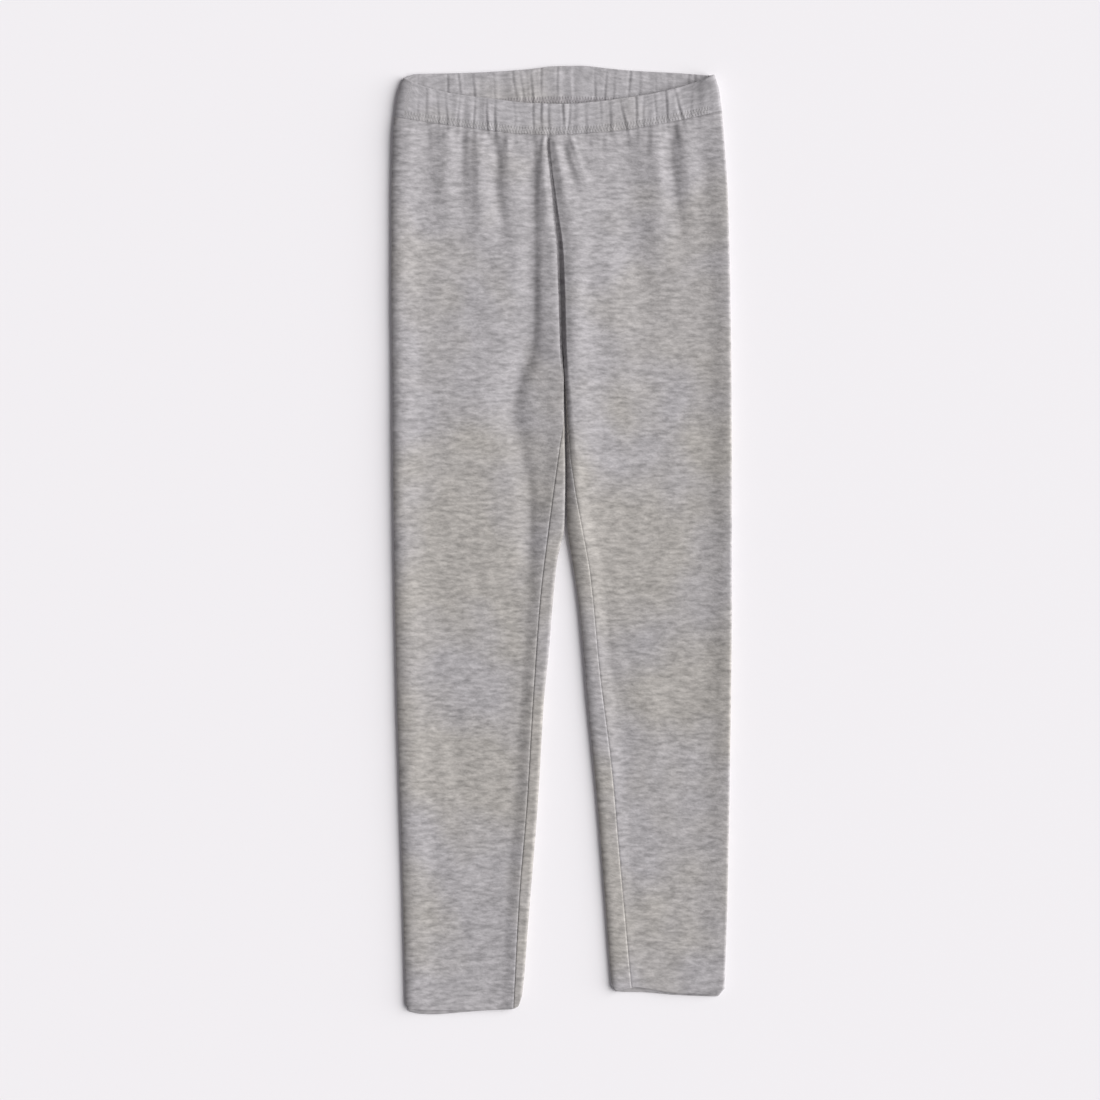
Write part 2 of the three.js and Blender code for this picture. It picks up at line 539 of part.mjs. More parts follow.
// The casing: a closed loop of columns, each with its right side, its rolled top edge and its inside
function waistband() {
  const leftEdge = curve(CASING_LEFT_EDGE, 'level', 'x');
  const rightEdge = curve(CASING_RIGHT_EDGE, 'level', 'x');
  const waistFront = curve(WAIST_FRONT, 'x', 'y');
  const waistBack = curve(WAIST_BACK, 'x', 'y');
  const height = curve(CASING_HEIGHT, 'level', 'z');
  const start = { top: leftEdge(1) + CASING_TURN, foot: leftEdge(0) + CASING_TURN };
  const end = { top: rightEdge(1) - CASING_TURN, foot: rightEdge(0) - CASING_TURN };

  const place = (x, z, front, level) => {
    const foot = mix(casingBack(x), casingFront(x), front);
    const top = mix(waistBack(x), waistFront(x), front);
    return new THREE.Vector3(x, mix(foot, top, level), z);
  };
  // Depth through the wall: 0 on the right side, 1 on the inside
  const flatPoint = (column, isFront) => (level, inside) => {
    const x = mix(column.foot, column.top, level);
    const pulled = column.depth * (1 - GATHER_EASE_AT_TOP * level);
    if (isFront) {
      const outerZ = height(level) - pulled;
      const innerZ = height(level) - CASING_WALL;
      return place(x, mix(outerZ, innerZ, inside), 1, level);
    }
    return place(x, mix(0, CASING_WALL - pulled, inside), 0, level);
  };
  const foldPoint = (edge, sign, angle) => (level, inside) => {
    const centre = edge(level) - sign * CASING_TURN;
    const half = height(level) / 2;
    const across = CASING_TURN - CASING_WALL * inside;
    const up = half - CASING_WALL * inside;
    const x = centre + sign * across * Math.sin(angle);
    return place(x, half + up * Math.cos(angle), (1 + Math.cos(angle)) / 2, level);
  };
  const foldColumns = (edge, sign) => Array.from({ length: CASING_FOLD_COLUMNS - 1 }, (_, i) => (
    foldPoint(edge, sign, (Math.PI * (i + 1)) / CASING_FOLD_COLUMNS)));

  const columns = [
    ...gatherColumns(FRONT_GATHERS, start, end).map((column) => flatPoint(column, true)),
    ...foldColumns(rightEdge, 1),
    ...gatherColumns(BACK_GATHERS, start, end).reverse().map((column) => flatPoint(column, false)),
    ...foldColumns(leftEdge, -1).reverse(),
  ];
  const loop = [
    ...CASING_LEVELS.map((level) => ({ level, inside: 0 })),
    ...ROLLED_EDGE,
    ...[...CASING_LEVELS].reverse().map((level) => ({ level, inside: 1 })),
  ];
  const grid = columns.map((column) => loop.map(({ level, inside }) => column(level, inside)));
  const positions = grid.flat().flatMap((p) => [p.x, p.y, p.z]);
  const faces = [];
  const at = (c, i) => (c % grid.length) * loop.length + (i % loop.length);
  for (let c = 0; c < grid.length; c += 1) {
    for (let i = 0; i < loop.length; i += 1) {
      faces.push(at(c, i), at(c + 1, i), at(c + 1, i + 1));
      faces.push(at(c, i), at(c + 1, i + 1), at(c, i + 1));
    }
  }
  return clothMesh('waistband', closedGeometry(positions, faces), COLOURS.casing);
}

const leftLeg = legShape({
  side: -1, outer: OUTER_LEFT, inner: INNER_LEFT, inseam: INSEAM_LEFT,
  hemFront: HEM_LEFT_FRONT, hemBack: HEM_LEFT_BACK, hemLevel: -380, column: 'left',
});
const rightLeg = legShape({
  side: 1, outer: OUTER_RIGHT, inner: INNER_RIGHT, inseam: INSEAM_RIGHT,
  hemFront: HEM_RIGHT_FRONT, hemBack: HEM_RIGHT_BACK, hemLevel: -365, column: 'right',
});

const leggings = new THREE.Group();
leggings.add(legPanel('leg_panel_left', leftLeg));
leggings.add(legPanel('leg_panel_right', rightLeg));
leggings.add(waistband());

export default leggings;
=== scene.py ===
"""Child's grey heather leggings, laid flat with the front up.

Thin jersey shells stand for the plain cloth solids, with finer folds, gathers, seams and sewing.
Shapes are worked out in millimetres, in the frame's axes: +Y to the waist, +Z up out of the front.
"""

import math

import bpy
import numpy as np
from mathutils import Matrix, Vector, noise


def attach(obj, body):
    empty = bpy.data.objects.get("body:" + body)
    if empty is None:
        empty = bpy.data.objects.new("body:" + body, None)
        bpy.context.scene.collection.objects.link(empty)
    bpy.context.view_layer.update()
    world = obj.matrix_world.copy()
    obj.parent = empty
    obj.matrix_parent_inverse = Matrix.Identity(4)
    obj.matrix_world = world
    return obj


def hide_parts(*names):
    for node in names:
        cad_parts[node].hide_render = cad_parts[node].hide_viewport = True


MM = 0.001

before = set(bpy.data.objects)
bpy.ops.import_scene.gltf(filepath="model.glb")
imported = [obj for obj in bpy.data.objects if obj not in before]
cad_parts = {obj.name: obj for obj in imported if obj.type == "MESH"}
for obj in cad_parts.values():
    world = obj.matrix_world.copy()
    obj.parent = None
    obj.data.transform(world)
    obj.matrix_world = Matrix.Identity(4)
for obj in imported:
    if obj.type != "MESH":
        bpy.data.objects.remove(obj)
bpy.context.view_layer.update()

# The photograph: its side and scale, and the pixel that shows the middle of the garment's footprint
PHOTO_SIDE_PX = 1100
MM_PER_PX = 0.81
ORIGIN_PX = (561.5, 540.0)
CAMERA_HEIGHT = 2300.0
CAMERA_REACH = 20000.0
SENSOR_WIDTH = 36.0

# Cloth: its thickness, the hem, and how the edges of the pieces meet
CLOTH = 1.2
HEM_CLOTH = 1.9
HEM_DEPTH = 18.0
HEM_STEP = 4.0
CASING_WALL = 2.4
SEAM_GAP = 0.05
JOIN_REACH = 3.6
JOIN_LIMIT = 4 * JOIN_REACH
FULL_FRONT = 0.999
THINNEST_EDGE = 0.1

# Where the garment's main points lie along its length
PANEL_TOP = 335.0
CROTCH = 130.0
TOP_FADE = 110.0
HEM_FADE = 45.0
FRONT_CLIMB = 30.0
BACK_LIFT = 8.0
UNDER_GROWTH = 60.0

# Outlines seen from above, as rows of y and x
OUTER_LEFT = [
    (356, -133.2), (335, -135.4), (318, -136.8), (275, -137.7), (194, -137.7), (113, -136.9), (32, -136.1),
    (-49, -134.9), (-130, -133.2), (-211, -130.8), (-292, -128.4), (-373, -126.4), (-392, -126.0),
]
OUTER_RIGHT = [
    (356, 127.6), (335, 129.7), (320, 131.1), (275, 134.5), (194, 136.5), (113, 137.4), (32, 137.6),
    (-49, 137.6), (-130, 136.9), (-211, 135.7), (-292, 134.1), (-356, 132.0), (-375, 131.4),
]
CENTRE_FRONT = [
    (345, -11.4), (327, -11.2), (300, -9.2), (283, -7.4), (262, -5.2), (235, -2.0), (202, -0.3), (160, 0.8),
    (130, 2.2),
]
CENTRE_BACK = [(365, 0.4), (130, 2.2)]
INNER_LEFT = [
    (130, 2.1), (113, 2.0), (89, 2.5), (51, 3.0), (25, 2.7), (8, 2.0), (-4, -0.6), (-16, -3.4),
    (-49, -6.9), (-89, -10.1), (-130, -14.2), (-211, -19.0), (-292, -25.5), (-373, -31.6), (-392, -33.0),
]
INNER_RIGHT = [
    (130, 2.3), (113, 3.3), (89, 4.1), (51, 4.5), (25, 4.3), (8, 4.9), (-16, 8.5), (-49, 13.4),
    (-89, 17.4), (-130, 20.7), (-211, 28.8), (-292, 35.2), (-360, 40.1), (-375, 41.2),
]
INSEAM_LEFT = [
    (130, 2.1), (112, 2.2), (95, 1.6), (77, -1.2), (0, -11.7), (-49, -17.4), (-130, -23.1),
    (-211, -27.9), (-292, -34.4), (-385, -39.2),
]
INSEAM_RIGHT = [
    (130, 2.3), (112, 4.2), (95, 5.2), (74, 6.4), (40, 11.0), (10, 16.6), (-27, 23.1), (-109, 31.2),
    (-187, 40.9), (-252, 46.6), (-370, 57.2),
]

# Waist and hems, as rows of x and y
WAIST_FRONT = [
    (-128.4, 373.8), (-109.8, 366.1), (-85.5, 360.5), (-57.9, 357.0), (-26.3, 353.4), (2.0, 352.7),
    (29.6, 354.6), (53.9, 358.0), (75.7, 361.5), (94.4, 366.1), (113.0, 371.6), (123.5, 375.8),
]
WAIST_BACK = [
    (-128.4, 373.8), (-119.0, 377.0), (-82.2, 377.9), (-53.9, 379.1), (-26.3, 381.1), (-3.6, 383.6),
    (16.6, 383.8), (39.3, 381.5), (57.1, 379.9), (94.4, 377.9), (123.5, 375.8),
]
CASING_FRONT = [
    (-135.3, 341.8), (-100.8, 336.2), (-59.5, 330.9), (-35.2, 328.1), (-9.3, 327.2), (20.7, 328.5),
    (53.9, 331.6), (85.5, 337.2), (129.6, 346.5),
]
CASING_BACK = [
    (-135.3, 341.8), (-110, 346.6), (-60, 350.4), (5, 352.6), (60, 351.0), (110, 348.8), (129.6, 346.5),
]
HEM_LEFT_FRONT = [
    (-126.2, -376.4), (-122.8, -379.4), (-104.0, -380.4), (-82.0, -380.7), (-61.0, -380.2),
    (-41.0, -379.4), (-35.0, -377.0), (-32.2, -369.5),
]
HEM_LEFT_BACK = [
    (-126.2, -377.6), (-121.8, -382.7), (-104.0, -384.0), (-82.0, -382.4), (-61.0, -380.8),
    (-41.0, -379.8), (-35.0, -377.4), (-32.2, -369.5),
]
HEM_RIGHT_FRONT = [
    (40.6, -360.5), (44.0, -364.6), (52.0, -363.0), (60.5, -361.8), (75.0, -364.0), (95.0, -366.8),
    (126.0, -367.4), (131.8, -363.0),
]
HEM_RIGHT_BACK = [
    (40.6, -361.5), (44.5, -365.7), (60.5, -365.8), (95.0, -368.4), (126.0, -369.4), (131.8, -364.0),
]

# Casing sides as rows of level and x, and its height as rows of level and z; level 0 is its foot
CASING_LEFT_EDGE = [(0, -135.3), (0.55, -133.0), (1, -128.4)]
CASING_RIGHT_EDGE = [(0, 129.6), (0.55, 127.4), (1, 123.5)]
CASING_HEIGHT = [(0, 6.6), (0.5, 7.0), (1, 6.4)]

# Rolled sides of the casing: how far in the left and the right one turn over, and their rises
CASING_TURN_LEFT = 9.0
CASING_TURN_RIGHT = 2.8
CASING_RISE_LEFT = [(0, 0.7), (1, 0.4)]
CASING_RISE_RIGHT = [(0, 0.8), (1, 4.6)]

# Height of the middle of a leg, then how much the front rises towards the inner side: y, value
MIDDLE_HEIGHT = [
    (346, 6.6), (326, 6.5), (312, 5.9), (296, 5.4), (240, 4.8), (130, 4.6), (0, 4.6), (-385, 4.5),
]
INNER_RISE = [
    (345, 0.2, 0.2), (300, 0.4, 1.2), (240, 1.3, 2.9), (170, 2.3, 3.2), (130, 2.3, 3.0), (60, 1.9, 2.6),
    (10, 1.0, 1.8), (-50, 0.4, 0.5), (-385, 0.2, 0.2),
]
BROAD_RISE = [
    (345, 0, 0), (300, 0, 0.9), (240, 0.1, 1.8), (130, 0.2, 1.9), (60, 0.2, 1.4), (0, 0, 0.7), (-60, 0, 0),
]
INNER_CREST_LEFT = 1.5
INNER_CREST_RIGHT = 6.5
INNER_SPREAD = 15.0
BROAD_SPREAD = 42.0

# Rolled sides of the legs: how far in they turn over and how high they rise: y, left, right
SIDE_TURN = [
    (345, 9.0, 2.8), (300, 8.8, 1.8), (240, 8.5, 1.7), (110, 7.5, 1.7), (35, 7.0, 1.7),
    (-50, 9.5, 1.7), (-130, 10.5, 1.7), (-225, 10.0, 1.7), (-290, 9.0, 1.7), (-385, 7.5, 1.7),
]
SIDE_RISE = [
    (345, 1.0, 0.7), (300, 1.8, 1.3), (240, 2.3, 2.3), (110, 2.4, 2.9), (35, 2.6, 2.9), (-50, 2.3, 2.6),
    (-130, 2.3, 2.3), (-225, 1.9, 1.9), (-290, 1.5, 1.0), (-385, 0.9, 0.4),
]
SIDE_SPREAD = 12.0
WIDEST_SHARE_LEFT = 0.38
WIDEST_SHARE_RIGHT = 0.7
UNDER_LEFT = 3.0
UNDER_RIGHT = 5.5

# The crease along the centre front: y, height of the seam, share of the narrow slot in the crease
CREASE = [
    (345, 6.0, 0.0), (320, 5.5, 0.15), (290, 4.9, 0.35), (267, 4.2, 0.45), (243, 3.2, 0.55),
    (225, 2.5, 0.65), (205, 2.0, 0.72), (130, 1.8, 0.75),
]
SLOT_WIDTH = [(345, 1.2, 1.4), (290, 1.2, 2.0), (240, 1.6, 2.8), (210, 2.2, 2.6), (130, 2.2, 2.6)]
ROLL_WIDTH = [
    (345, 2.5, 2.6), (318, 2.6, 3.4), (290, 3.0, 5.5), (267, 3.0, 8.5), (243, 2.8, 10.0), (210, 3.0, 7.5),
    (170, 2.8, 7.0), (130, 2.4, 7.5),
]
SLOT_POWER = 12

# The inner side of each leg below the crotch: how far in it turns over, and the height of its tip
INNER_TURN = [
    (130, 1.0, 4.6), (90, 0.8, 6.5), (55, 0.8, 9.5), (20, 0.9, 13.0), (-15, 1.4, 13.0), (-50, 1.8, 9.0),
    (-90, 1.9, 7.5), (-385, 1.9, 6.0),
]
INNER_TIP = [(130, 3.2, 3.2), (60, 3.9, 3.0), (0, 4.4, 2.6), (-300, 4.2, 2.4), (-385, 3.8, 2.4)]
INNER_UNDER_LEFT = 5.0
INNER_UNDER_RIGHT = 3.2

# The long crease of the left leg: y, x, half width on its left and right, depth
LONG_CREASE = [
    (336, -22, 5, 3.2, 0.5), (318, -22, 7, 3.2, 1.7), (288, -22.5, 9, 3.6, 2.5), (243, -22.5, 9, 4.4, 1.9),
    (211, -22.5, 11, 4.0, 2.6), (170, -23.5, 14, 5.4, 2.9), (150, -27, 14, 7, 3.1), (128, -36, 13, 8, 3.1),
    (105, -39.5, 12, 8.5, 2.8), (81, -36, 11, 9, 2.2), (57, -30, 9, 7, 1.9), (32, -26, 8, 5, 2.1),
    (8, -26, 8, 4.8, 2.1), (-20, -28, 8, 5.5, 1.3), (-50, -30, 8, 6, 0),
]

# Soft folds: y and x of the top and of the foot, half width on the left and right, height
FOLDS = [
    (340, -109, 245, -107, 8, 7, -0.9), (338, -95, 225, -89, 7, 7, 0.8), (338, -79, 262, -81, 6, 4, -1.3),
    (336, -66, 215, -67, 5, 6, 1.4), (335, -57, 205, -43, 5.5, 5, -1.7), (333, -46, 265, -38, 5, 6, 0.9),
    (334, -13.6, 225, -11, 3, 3.2, 0.6), (332, -5.5, 258, 3, 3.6, 4, 0.8), (330, -2, 272, 17, 3.4, 3.4, -1.1),
    (335, 4, 262, 25, 4, 6, 1.0), (338, 34, 250, 40, 10, 13, -0.5), (339, 43, 312, 44, 3, 4, 0.4),
    (340, 52, 130, 66, 14, 13, -1.4), (340, 77, 200, 81, 7, 7, 0.9), (341, 86, 210, 99, 7, 5, -1.7),
    (342, 98, 250, 109, 5.5, 8, 1.2), (320, 114, 200, 118, 7, 7, -0.5), (240, 36, 70, 60, 13, 12, 0.9),
    (-150, -108, -222, -86, 8, 6, 0.5), (-135, -92, -240, -76, 9, 9, -0.5), (-60, 34, -210, 62, 8, 6, -0.5),
    (-95, 66, -260, 88, 11, 8, 0.6), (-125, 73, -168, 92, 3, 2.6, 0.35), (-156, 86, -170, 108, 2, 2, 0.3),
    (32, 62, 30, 108, 1.6, 1.6, 0.25), (-230, -100, -320, -72, 9, 9, 0.4), (-250, 60, -340, 78, 8, 8, 0.4),
]
FOLD_START = 0.09
FOLD_END = 0.55
FOLD_SPREADING = (0.75, 0.5)
FOLD_SWAYS = [(1.2, 82.0, 1.0), (0.7, 45.0, 2.0)]

# Gathers of the casing: x at the top edge, x at the foot, depth. Their waves: height, size across, along
FRONT_GATHERS = [
    (-116, -116, 0.3), (-110, -109, 0.4), (-101, -100, 0.6), (-94, -93, 0.7), (-83, -84, 0.7),
    (-71, -71, 0.8), (-61, -60, 1.2), (-54, -54, 1.1), (-39, -38, 0.3), (-23, -23, 0.7),
    (-17, -16, 1.1), (-11, -10, 0.6), (1, 1, 1.2), (6, 5, 0.8), (19, 19, 0.4), (31, 31, 0.4),
    (39, 39, 0.7), (47, 52, 1.1), (59, 61, 0.9), (66, 66, 0.6), (75, 76, 0.6), (83, 86, 1.1),
    (90, 98, 1.2), (104, 105, 0.4),
]
BACK_GATHERS = [
    (-117, -116, 0.5), (-93, -91, 0.7), (-84, -82, 0.9), (-73, -70, 1.0), (-56, -53, 0.4),
    (-40, -36, 0.7), (-34, -31, 0.8), (-25, -24, 1.0), (-17, -16, 0.7), (-4, -3, 0.6), (8.2, 8.2, -0.4),
    (27, 26, 0.6), (36, 35, 0.7), (42, 42, 0.4), (55, 54, 0.9), (63, 62, 0.6), (76, 76, 0.3),
    (92, 92, 0.5), (103, 101, 0.9), (108, 107, 0.9), (112, 111, 1.0), (115.8, 115, 1.2),
]
GATHER_EASE_AT_TOP = 0.25
GATHER_DIP = 0.48
GATHER_DIP_SPREAD = 1.2
GATHER_ROLL = 0.38
GATHER_ROLL_OFFSET = 2.1
GATHER_ROLL_SPREAD = 1.7
GATHER_FADE = 0.75
GATHER_BEND = 0.5
GATHER_BENDS = 4
GATHER_VARIETY = 1.9
GATHER_WAVES = (0.5, 6.5, 45.0)
WAVES_FADE = 10
FRONT_SEED = 21.7
BACK_SEED = 55.2

# Sewing: stitch length, lean of a stroke, bands above the casing's foot, and the thread
STITCH_PITCH = 2.3
STITCH_LEAN = 0.6
COVER_BAND = (0.5, 6.2)
LOOPER_BAND = (0.5, 6.4)
STITCH_ENDS = (-126.0, 121.0)
THREAD_RADIUS = 0.2
THREAD_LIFT = 0.02
THREAD_SIDES = 5
STROKE_STEPS = 4

# Short puckers that hang from the casing's seam into the front: x, length, half width, depth, lean
SEAM_PUCKERS = [
    (-118, 9, 1.8, 0.3, -0.05), (-108, 14, 2.0, 0.4, 0.02), (-97, 8, 1.6, 0.35, 0.04),
    (-86, 16, 2.1, 0.45, -0.04), (-78, 7, 1.5, 0.3, 0.03), (-66, 12, 1.8, 0.45, -0.06),
    (-59, 9, 1.5, 0.4, 0.08), (-47, 18, 2.2, 0.5, 0.06), (-38, 8, 1.6, 0.3, 0.0),
    (-29, 13, 1.8, 0.4, 0.05), (-17, 22, 1.9, 0.7, -0.08), (-12, 16, 1.4, 0.6, 0.06),
    (-2, 9, 1.6, 0.35, 0.1), (4, 24, 2.0, 0.8, 0.34), (11, 10, 1.6, 0.4, 0.18),
    (22, 12, 1.8, 0.4, 0.1), (33, 15, 2.0, 0.45, 0.05), (42, 8, 1.5, 0.3, 0.02),
    (53, 13, 1.9, 0.4, 0.06), (61, 9, 1.5, 0.35, -0.02), (70, 19, 2.2, 0.5, -0.03),
    (81, 9, 1.6, 0.35, 0.04), (91, 20, 2.2, 0.7, 0.12), (99, 10, 1.5, 0.4, 0.08),
    (110, 12, 1.9, 0.3, 0.03), (120, 8, 1.8, 0.25, 0.0),
]
PUCKER_POWER = 1.6
PUCKER_ROLL = 0.7
PUCKER_ROLL_OFFSET = 1.5

# Inseams: how high the cloth rises from the seam to the inner side: y, left, right
INSEAM_RISE = [
    (110, 0, 0), (80, 0.5, 0.3), (20, 1.1, 1.4), (-50, 1.6, 1.4), (-130, 1.9, 1.1), (-230, 1.8, 0.9),
    (-300, 1.5, 0.5), (-385, 1.0, 0.4),
]
INSEAM_FALL = 11.0
INSEAM_DIP = 0.18
INSEAM_DIP_SPREAD = 0.7
INSEAM_PUCKER = 0.13
INSEAM_PUCKER_REACH = 5.0
INSEAM_PUCKER_PITCH = 7.3
INSEAM_UNEVEN = (1.7, 0.37)
INSEAM_GROWTH = 70.0

# Dip beside the centre seam, and the cloth's own unevenness: height, size across, size along
CENTRE_DIP = 0.35
SEAM_DIP_SPREAD = 1.1
UNEVEN_BROAD = (0.22, 34.0, 60.0)
UNEVEN_FINE = (0.09, 9.0, 14.0)
BROAD_SEED = 3.1
FINE_SEED = 8.4
RELIEF_START = 0.3
RELIEF_GROWTH = 0.5

# How finely the shells are divided; rows near a turned edge are given by their distance from it
COLUMNS = {"lead": 28, "front": 118, "outer_fold": 18, "back": 12, "inner_fold": 16}
PATH_STEPS = {"lead": 60, "front": 240, "outer_fold": 48, "back": 12, "inner_fold": 60}
LEAD_BEYOND_TURN = 4.0
LEAD_SHORTEST = 6.0
UPPER_ROW_STEP = 2.4
LOWER_ROW_STEP = 3.05
EDGE_ROWS = (3.6, 2.2, 1.2, 0.65, 0.3, 0.1, 0.0)
CASING_COLUMN_STEP = 0.5
CASING_FOLD_COLUMNS = 18
CASING_LEVELS = np.concatenate([np.linspace(0, 0.3, 9), np.linspace(0.36, 0.95, 11)])

# Where the cloth coordinates of the legs and of the casing lie, so that no two pieces share a pattern
CLOTH_APART = 500.0
CASING_CLOTH = (1500.0, 330.0)

# The casing's rolled top edge: level, depth through the wall
ROLLED_EDGE = [
    (0.97, 0.0), (0.985, 0.08), (0.996, 0.25), (1.0, 0.5), (0.996, 0.75), (0.985, 0.92), (0.97, 1.0),
]


def smooth(value):
    t = np.clip(value, 0.0, 1.0)
    return t * t * (3 - 2 * t)


def mix(start, end, share):
    return start + (end - start) * share


def bell(distance, spread):
    return np.exp(-((distance / spread) ** 2))


def curve(rows):
    """Smooth curve through rows of place and value, with no overshoot."""
    at, value = np.array(sorted(rows), float).T
    step = np.diff(value) / np.diff(at)
    product = step[:-1] * step[1:]
    total = np.where(product > 0, step[:-1] + step[1:], 1.0)
    slope = np.concatenate([step[:1], np.where(product > 0, 2 * product / total, 0.0), step[-1:]])

    def at_place(x):
        x = np.clip(x, at[0], at[-1])
        i = np.clip(np.searchsorted(at, x, side="right") - 1, 0, len(step) - 1)
        width = at[i + 1] - at[i]
        t = (x - at[i]) / width
        rise = value[i + 1] - value[i]
        a = slope[i] * width - rise
        b = rise - slope[i + 1] * width
        return value[i] + t * rise + t * (1 - t) * (a * (1 - t) + b * t)

    return at_place


def column_curve(rows, column):
    """Curve of one column of a table whose first column is the place."""
    return curve([(row[0], row[column]) for row in rows])


centre_front = curve(CENTRE_FRONT)
centre_back = curve(CENTRE_BACK)
middle_height = curve(MIDDLE_HEIGHT)
seam_height = column_curve(CREASE, 1)
slot_share = column_curve(CREASE, 2)
casing_front = curve(CASING_FRONT)
casing_back = curve(CASING_BACK)
waist_front = curve(WAIST_FRONT)
waist_back = curve(WAIST_BACK)
crease_place, crease_left, crease_right, crease_depth = (column_curve(LONG_CREASE, i) for i in (1, 2, 3, 4))


class Leg:
    """One leg: its outlines as curves, measured outwards from the middle of the garment."""

    def __init__(self, side, outer, inner, inseam, hem_front, hem_back, hem_level, column):
        self.side = side
        self.outer = self.outward(outer)
        self.inner = self.outward(inner)
        self.inseam = self.outward(inseam)
        self.hem_front = curve(hem_front)
        self.hem_back = curve(hem_back)
        self.hem_level = hem_level
        self.inner_crest = INNER_CREST_LEFT if side < 0 else INNER_CREST_RIGHT
        self.inner_rise = column_curve(INNER_RISE, column)
        self.broad_rise = column_curve(BROAD_RISE, column)
        self.side_turn = column_curve(SIDE_TURN, column)
        self.side_rise = column_curve(SIDE_RISE, column)
        self.slot_width = column_curve(SLOT_WIDTH, column)
        self.roll_width = column_curve(ROLL_WIDTH, column)
        self.inner_turn = column_curve(INNER_TURN, column)
        self.inner_tip = column_curve(INNER_TIP, column)
        self.inner_under = INNER_UNDER_LEFT if side < 0 else INNER_UNDER_RIGHT
        self.side_under = UNDER_LEFT if side < 0 else UNDER_RIGHT
        self.widest_share = WIDEST_SHARE_LEFT if side < 0 else WIDEST_SHARE_RIGHT
        self.inseam_rise = column_curve(INSEAM_RISE, column)

    def outward(self, rows):
        return curve([(y, self.side * x) for y, x in rows])

    def limit(self, level):
        """The inner limit of the front: the centre seam, or the inner fold below the crotch."""
        if level < CROTCH:
            return float(self.inner(level))
        return float(self.side * centre_front(level)) + SEAM_GAP / 2

    def lengthwise(self, x, front, level):
        """Where a point lies along the length, once the shaped waist and hem are blended in."""
        top_shape = mix(casing_back(x), casing_front(x), front) - SEAM_GAP - PANEL_TOP
        hem_shape = mix(self.hem_back(x), self.hem_front(x), front) - self.hem_level
        near_top = np.clip(1 - (PANEL_TOP - level) / TOP_FADE, 0, 1)
        near_hem = np.clip(1 - (level - self.hem_level) / HEM_FADE, 0, 1)
        return level + top_shape * near_top**2 + hem_shape * near_hem**2


LEFT_LEG = Leg(-1, OUTER_LEFT, INNER_LEFT, INSEAM_LEFT, HEM_LEFT_FRONT, HEM_LEFT_BACK, -380.0, 1)
RIGHT_LEG = Leg(1, OUTER_RIGHT, INNER_RIGHT, INSEAM_RIGHT, HEM_RIGHT_FRONT, HEM_RIGHT_BACK, -365.0, 2)


def fold_height(fold, x, y):
    """Height that one soft fold adds to the front: it starts narrow and spreads as it fades."""
    y1, x1, y2, x2, left, right, height = fold
    dx, dy = x2 - x1, y2 - y1
    along = ((x - x1) * dx + (y - y1) * dy) / (dx * dx + dy * dy)
    aside = ((x - x1) * dy - (y - y1) * dx) / -math.hypot(dx, dy)
    for sway, length, start in FOLD_SWAYS:
        aside = aside + sway * np.sin(2 * math.pi * y / length + start * x1)
    ends = smooth(along / FOLD_START) * smooth((1 - along) / FOLD_END)
    width = np.where(aside < 0, left, right) * (FOLD_SPREADING[0] + FOLD_SPREADING[1] * along)
    return height * bell(aside, width) * ends


def long_crease(x, y):
    """How far the long crease of the left leg sinks."""
    aside = x - crease_place(y)
    return crease_depth(y) * bell(aside, np.where(aside < 0, crease_left(y), crease_right(y)))


def face_height(leg, out, level):
    """Height of the front's face, without the centre crease or the turned edges."""
    x = leg.side * out
    y = leg.lengthwise(x, 1.0, level)
    inward = out - leg.limit(level)
    from_crest = np.maximum(inward - leg.inner_crest, 0)
    height = middle_height(y) + leg.inner_rise(y) * bell(from_crest, INNER_SPREAD)
    height += leg.broad_rise(y) * bell(inward, BROAD_SPREAD)
    from_side = leg.outer(level) - leg.side_turn(level) - out
    height += leg.side_rise(level) * bell(np.maximum(from_side, 0), SIDE_SPREAD)
    if level < CROTCH:
        height += leg.inseam_rise(level) * (1 - smooth((out - leg.inseam(level)) / INSEAM_FALL))
    if leg.side < 0:
        height -= long_crease(x, y)
    return height + sum(fold_height(fold, x, y) for fold in FOLDS)


def roundness(level):
    """How much of the inner fold's round shape a section has."""
    return float(smooth(1 - (level - CROTCH) / FRONT_CLIMB))


def front_height(leg, out, level):
    """Height of the front near its inner side too: down the crease, or round the inner fold."""
    top = face_height(leg, out, level)
    inward = np.maximum(0.0, out - leg.limit(level))
    turn = float(leg.inner_turn(min(level, CROTCH)))
    tip = float(leg.inner_tip(min(level, CROTCH)))
    cut = np.clip((turn - inward) / turn, 0, 1)
    rounded = tip + (top - tip) * np.sqrt(1 - cut**2)
    if level < CROTCH:
        return rounded
    slot = np.exp(-((inward / float(leg.slot_width(level))) ** SLOT_POWER))
    groove = mix(bell(inward, float(leg.roll_width(level))), slot, float(slot_share(level)))
    return mix(mix(top, float(seam_height(level)), groove), rounded, roundness(level))


def running_length(points):
    """Length of a path from its first point up to each of its points."""
    steps = np.linalg.norm(np.diff(points, axis=0), axis=1)
    return np.concatenate([[0.0], np.cumsum(steps)])


def trim_start(points, length):
    """Shortens a path by a small length at its first point."""
    run = running_length(points[:, :2])
    first = int(np.searchsorted(run, length, side="right"))
    start = [np.interp(length, run, points[:, i]) for i in range(points.shape[1])]
    return np.vstack([start, points[first:]])


def resample(path, run, count):
    """Equally spaced points along a path."""
    at = np.linspace(run[0], run[-1], count)
    return np.stack([np.interp(at, run, path[:, i]) for i in range(path.shape[1])], 1)


